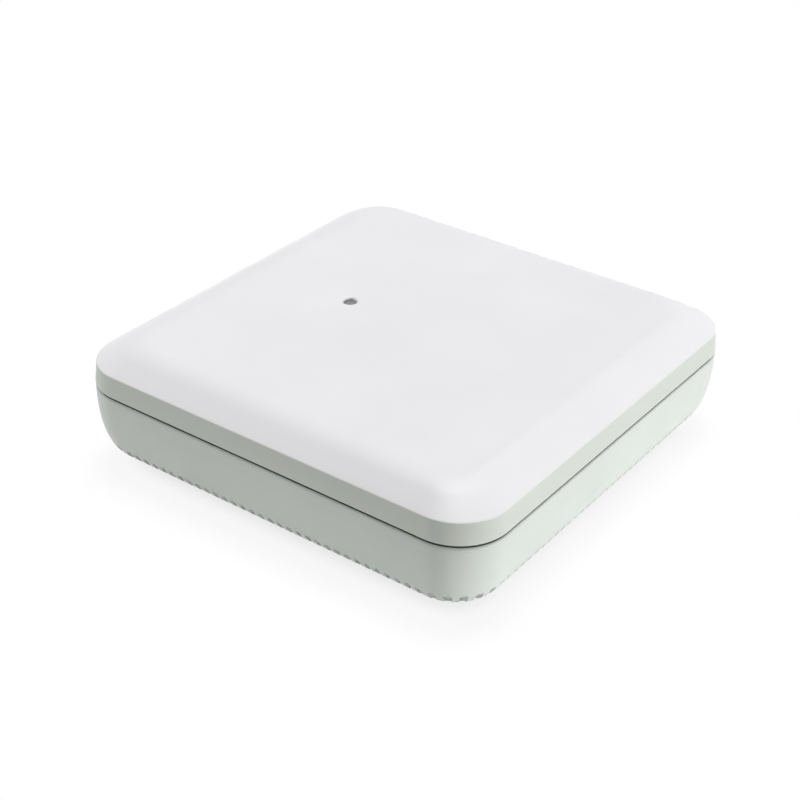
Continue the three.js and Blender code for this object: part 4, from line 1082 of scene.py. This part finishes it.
def turnSpacer():
    s = spacer
    radius, height, edge, stud, low = s["flats"] / math.sqrt(3), s["height"], s["edge"], s["stud"], -s["studLength"]
    whole = lathe("spacerPattern", [(0, 0), (radius, 0), (radius, height), (0, height)], steps=6)
    face, wide = radius - edge - 0.2, radius + 0.4
    chamfer = [(0, -1), (face, -1), (face, 0), (wide, edge + 0.35), (wide, height - edge - 0.35)]
    common(whole, lathe("turned", chamfer + [(face, height), (0, height)], steps=48))
    profile = [(0, low), (stud - 0.35, low)]
    profile += thread(stud, s["threadDepth"], low + 0.3, s["threadStep"], s["threadRows"])
    weld(whole, [lathe("stud", profile + [(stud, 0.5), (0, 0.5)], steps=32)])
    return carve(whole, [drum(s["bore"], s["boreDepth"] + 1, 0, 0, height - s["boreDepth"], 32)])


fourOf("mountingPosts", turnPost(), postPlaces, 0.0, "steel", "mounting_post")
coverScrew, plateScrew = turnScrew(screw["coverLength"], True), turnScrew(screw["plateLength"], False)
fourOf("coverScrews", coverScrew, screwPlaces, screw["coverLevel"], "steel", "cover_screw")
fourOf("plateScrews", plateScrew, spacerPlaces, screw["plateLevel"], "steel", "plate_screw")
fourOf("boardSpacers", turnSpacer(), spacerPlaces, spacer["level"], "brass", "board_spacer")
print("fasteners made")


# Inner solids keep their shape and get their finish

slotOfNode = {part["node"]: part["material_slot"] for part in frame["record"]["subparts"]}
for node, solid in frame["nodes"].items():
    for place in solid.material_slots:
        place.link = "DATA"
        place.material = finishes[slotOfNode[node]]
print("solids painted:", len(slotOfNode))


# Camera, light and floor

camera = {
    "target": (16.42, -31.62, 43.0), "distance": 728.8, "yaw": 36.1, "pitch": 31.78,
    "roll": 0.93, "lens": 73.2, "sensor": 36,
}


def makeCamera():
    yaw, pitch, roll = (math.radians(camera[key]) for key in ("yaw", "pitch", "roll"))
    back = Vector((math.sin(yaw) * math.cos(pitch), -math.cos(yaw) * math.cos(pitch), math.sin(pitch)))
    right = Vector((math.cos(yaw), math.sin(yaw), 0))
    up = back.cross(right)
    across = right * math.cos(roll) + up * math.sin(roll)
    upright = up * math.cos(roll) - right * math.sin(roll)
    data = bpy.data.cameras.new("camera")
    data.lens = camera["lens"]
    data.sensor_width = camera["sensor"]
    data.clip_start = 0.01
    data.clip_end = 50
    made = addObject("camera", data)
    pose = Matrix((across, upright, back)).transposed().to_4x4()
    pose.translation = (Vector(camera["target"]) + back * camera["distance"]) * mm
    made.matrix_world = pose
    bpy.context.scene.camera = made


lighting = {
    "top": {"direction": (-0.05, 0.12, 0.99), "distance": 3.0, "size": 1.4, "power": 67.0},
    "right": {"direction": (0.96, 0.21, 0.19), "distance": 2.6, "size": 0.8, "power": 35.5},
    "left": {"direction": (-0.8, -0.34, 0.49), "distance": 2.6, "size": 1.0, "power": 17.5},
    "skyStrength": 0.05, "floorTone": 0.82, "floorGlow": 0.9, "floorShadowShare": 0.105,
    # the next three set the painted contact shadow in the floor's glow
    "paintedShadowReach": 0.016, "paintedShadowOpen": (0.1, 0.45), "paintedShadowShare": 0.7,
}


def seenDirectly(tree):
    path = tree.nodes.new("ShaderNodeLightPath").outputs
    either = sums(tree, "MAXIMUM", path["Is Camera Ray"], path["Is Glossy Ray"])
    return sums(tree, "MAXIMUM", either, path["Is Transmission Ray"])


def makeLamp(name):
    light = lighting[name]
    data = bpy.data.lights.new(name, "AREA")
    data.shape = "DISK"
    data.size = light["size"]
    data.energy = light["power"]
    made = addObject(name, data)
    direction = Vector(light["direction"]).normalized()
    made.location = direction * light["distance"]
    made.rotation_euler = direction.to_track_quat("Z", "Y").to_euler()


def makeWorld():
    world = bpy.data.worlds.new("studio")
    world.use_nodes = True
    tree = world.node_tree
    background = tree.nodes["Background"]
    background.inputs["Color"].default_value = (1, 1, 1, 1)
    strength = ranged(tree, seenDirectly(tree), lighting["skyStrength"], 1.0, 0.0, 1.0)
    tree.links.new(strength, background.inputs["Strength"])
    bpy.context.scene.world = world


def makeFloor():
    bm = bmesh.new()
    bmesh.ops.create_grid(bm, x_segments=1, y_segments=1, size=6)
    floor = addObject("floor", meshOf("floor", bm))
    material = bpy.data.materials.new("floor")
    material.use_nodes = True
    tree = material.node_tree
    tree.nodes.remove(tree.nodes["Principled BSDF"])
    tones = [(lighting[key],) * 3 + (1,) for key in ("floorTone", "floorShadowShare")]
    bounce, faint = (result(tree, "ShaderNodeBsdfDiffuse", {"Color": tone}) for tone in tones)
    # painted shadow: the floor's glow dims by ambient occlusion where the object stands right over it
    links = {"Distance": lighting["paintedShadowReach"]}
    openness = addNode(tree, "ShaderNodeAmbientOcclusion", links, samples=12).outputs["AO"]
    full = lighting["floorGlow"]
    strength = ranged(tree, openness, full * lighting["paintedShadowShare"], full, *lighting["paintedShadowOpen"])
    glow = result(tree, "ShaderNodeEmission", {"Color": (1, 1, 1, 1), "Strength": strength})
    shown = result(tree, "ShaderNodeAddShader", {0: faint, 1: glow})
    mix = result(tree, "ShaderNodeMixShader", {0: seenDirectly(tree), 1: bounce, 2: shown})
    # the floor is glass-clear from below, so the underside can be looked at
    below = tree.nodes.new("ShaderNodeNewGeometry").outputs["Backfacing"]
    clear = tree.nodes.new("ShaderNodeBsdfTransparent").outputs[0]
    oneSided = result(tree, "ShaderNodeMixShader", {0: below, 1: mix, 2: clear})
    tree.links.new(oneSided, tree.nodes["Material Output"].inputs["Surface"])
    floor.data.materials.append(material)


makeCamera()
for lampName in ("top", "right", "left"):
    makeLamp(lampName)
makeWorld()
makeFloor()
bpy.context.scene.view_settings.view_transform = "Standard"
print("camera, light and floor set")
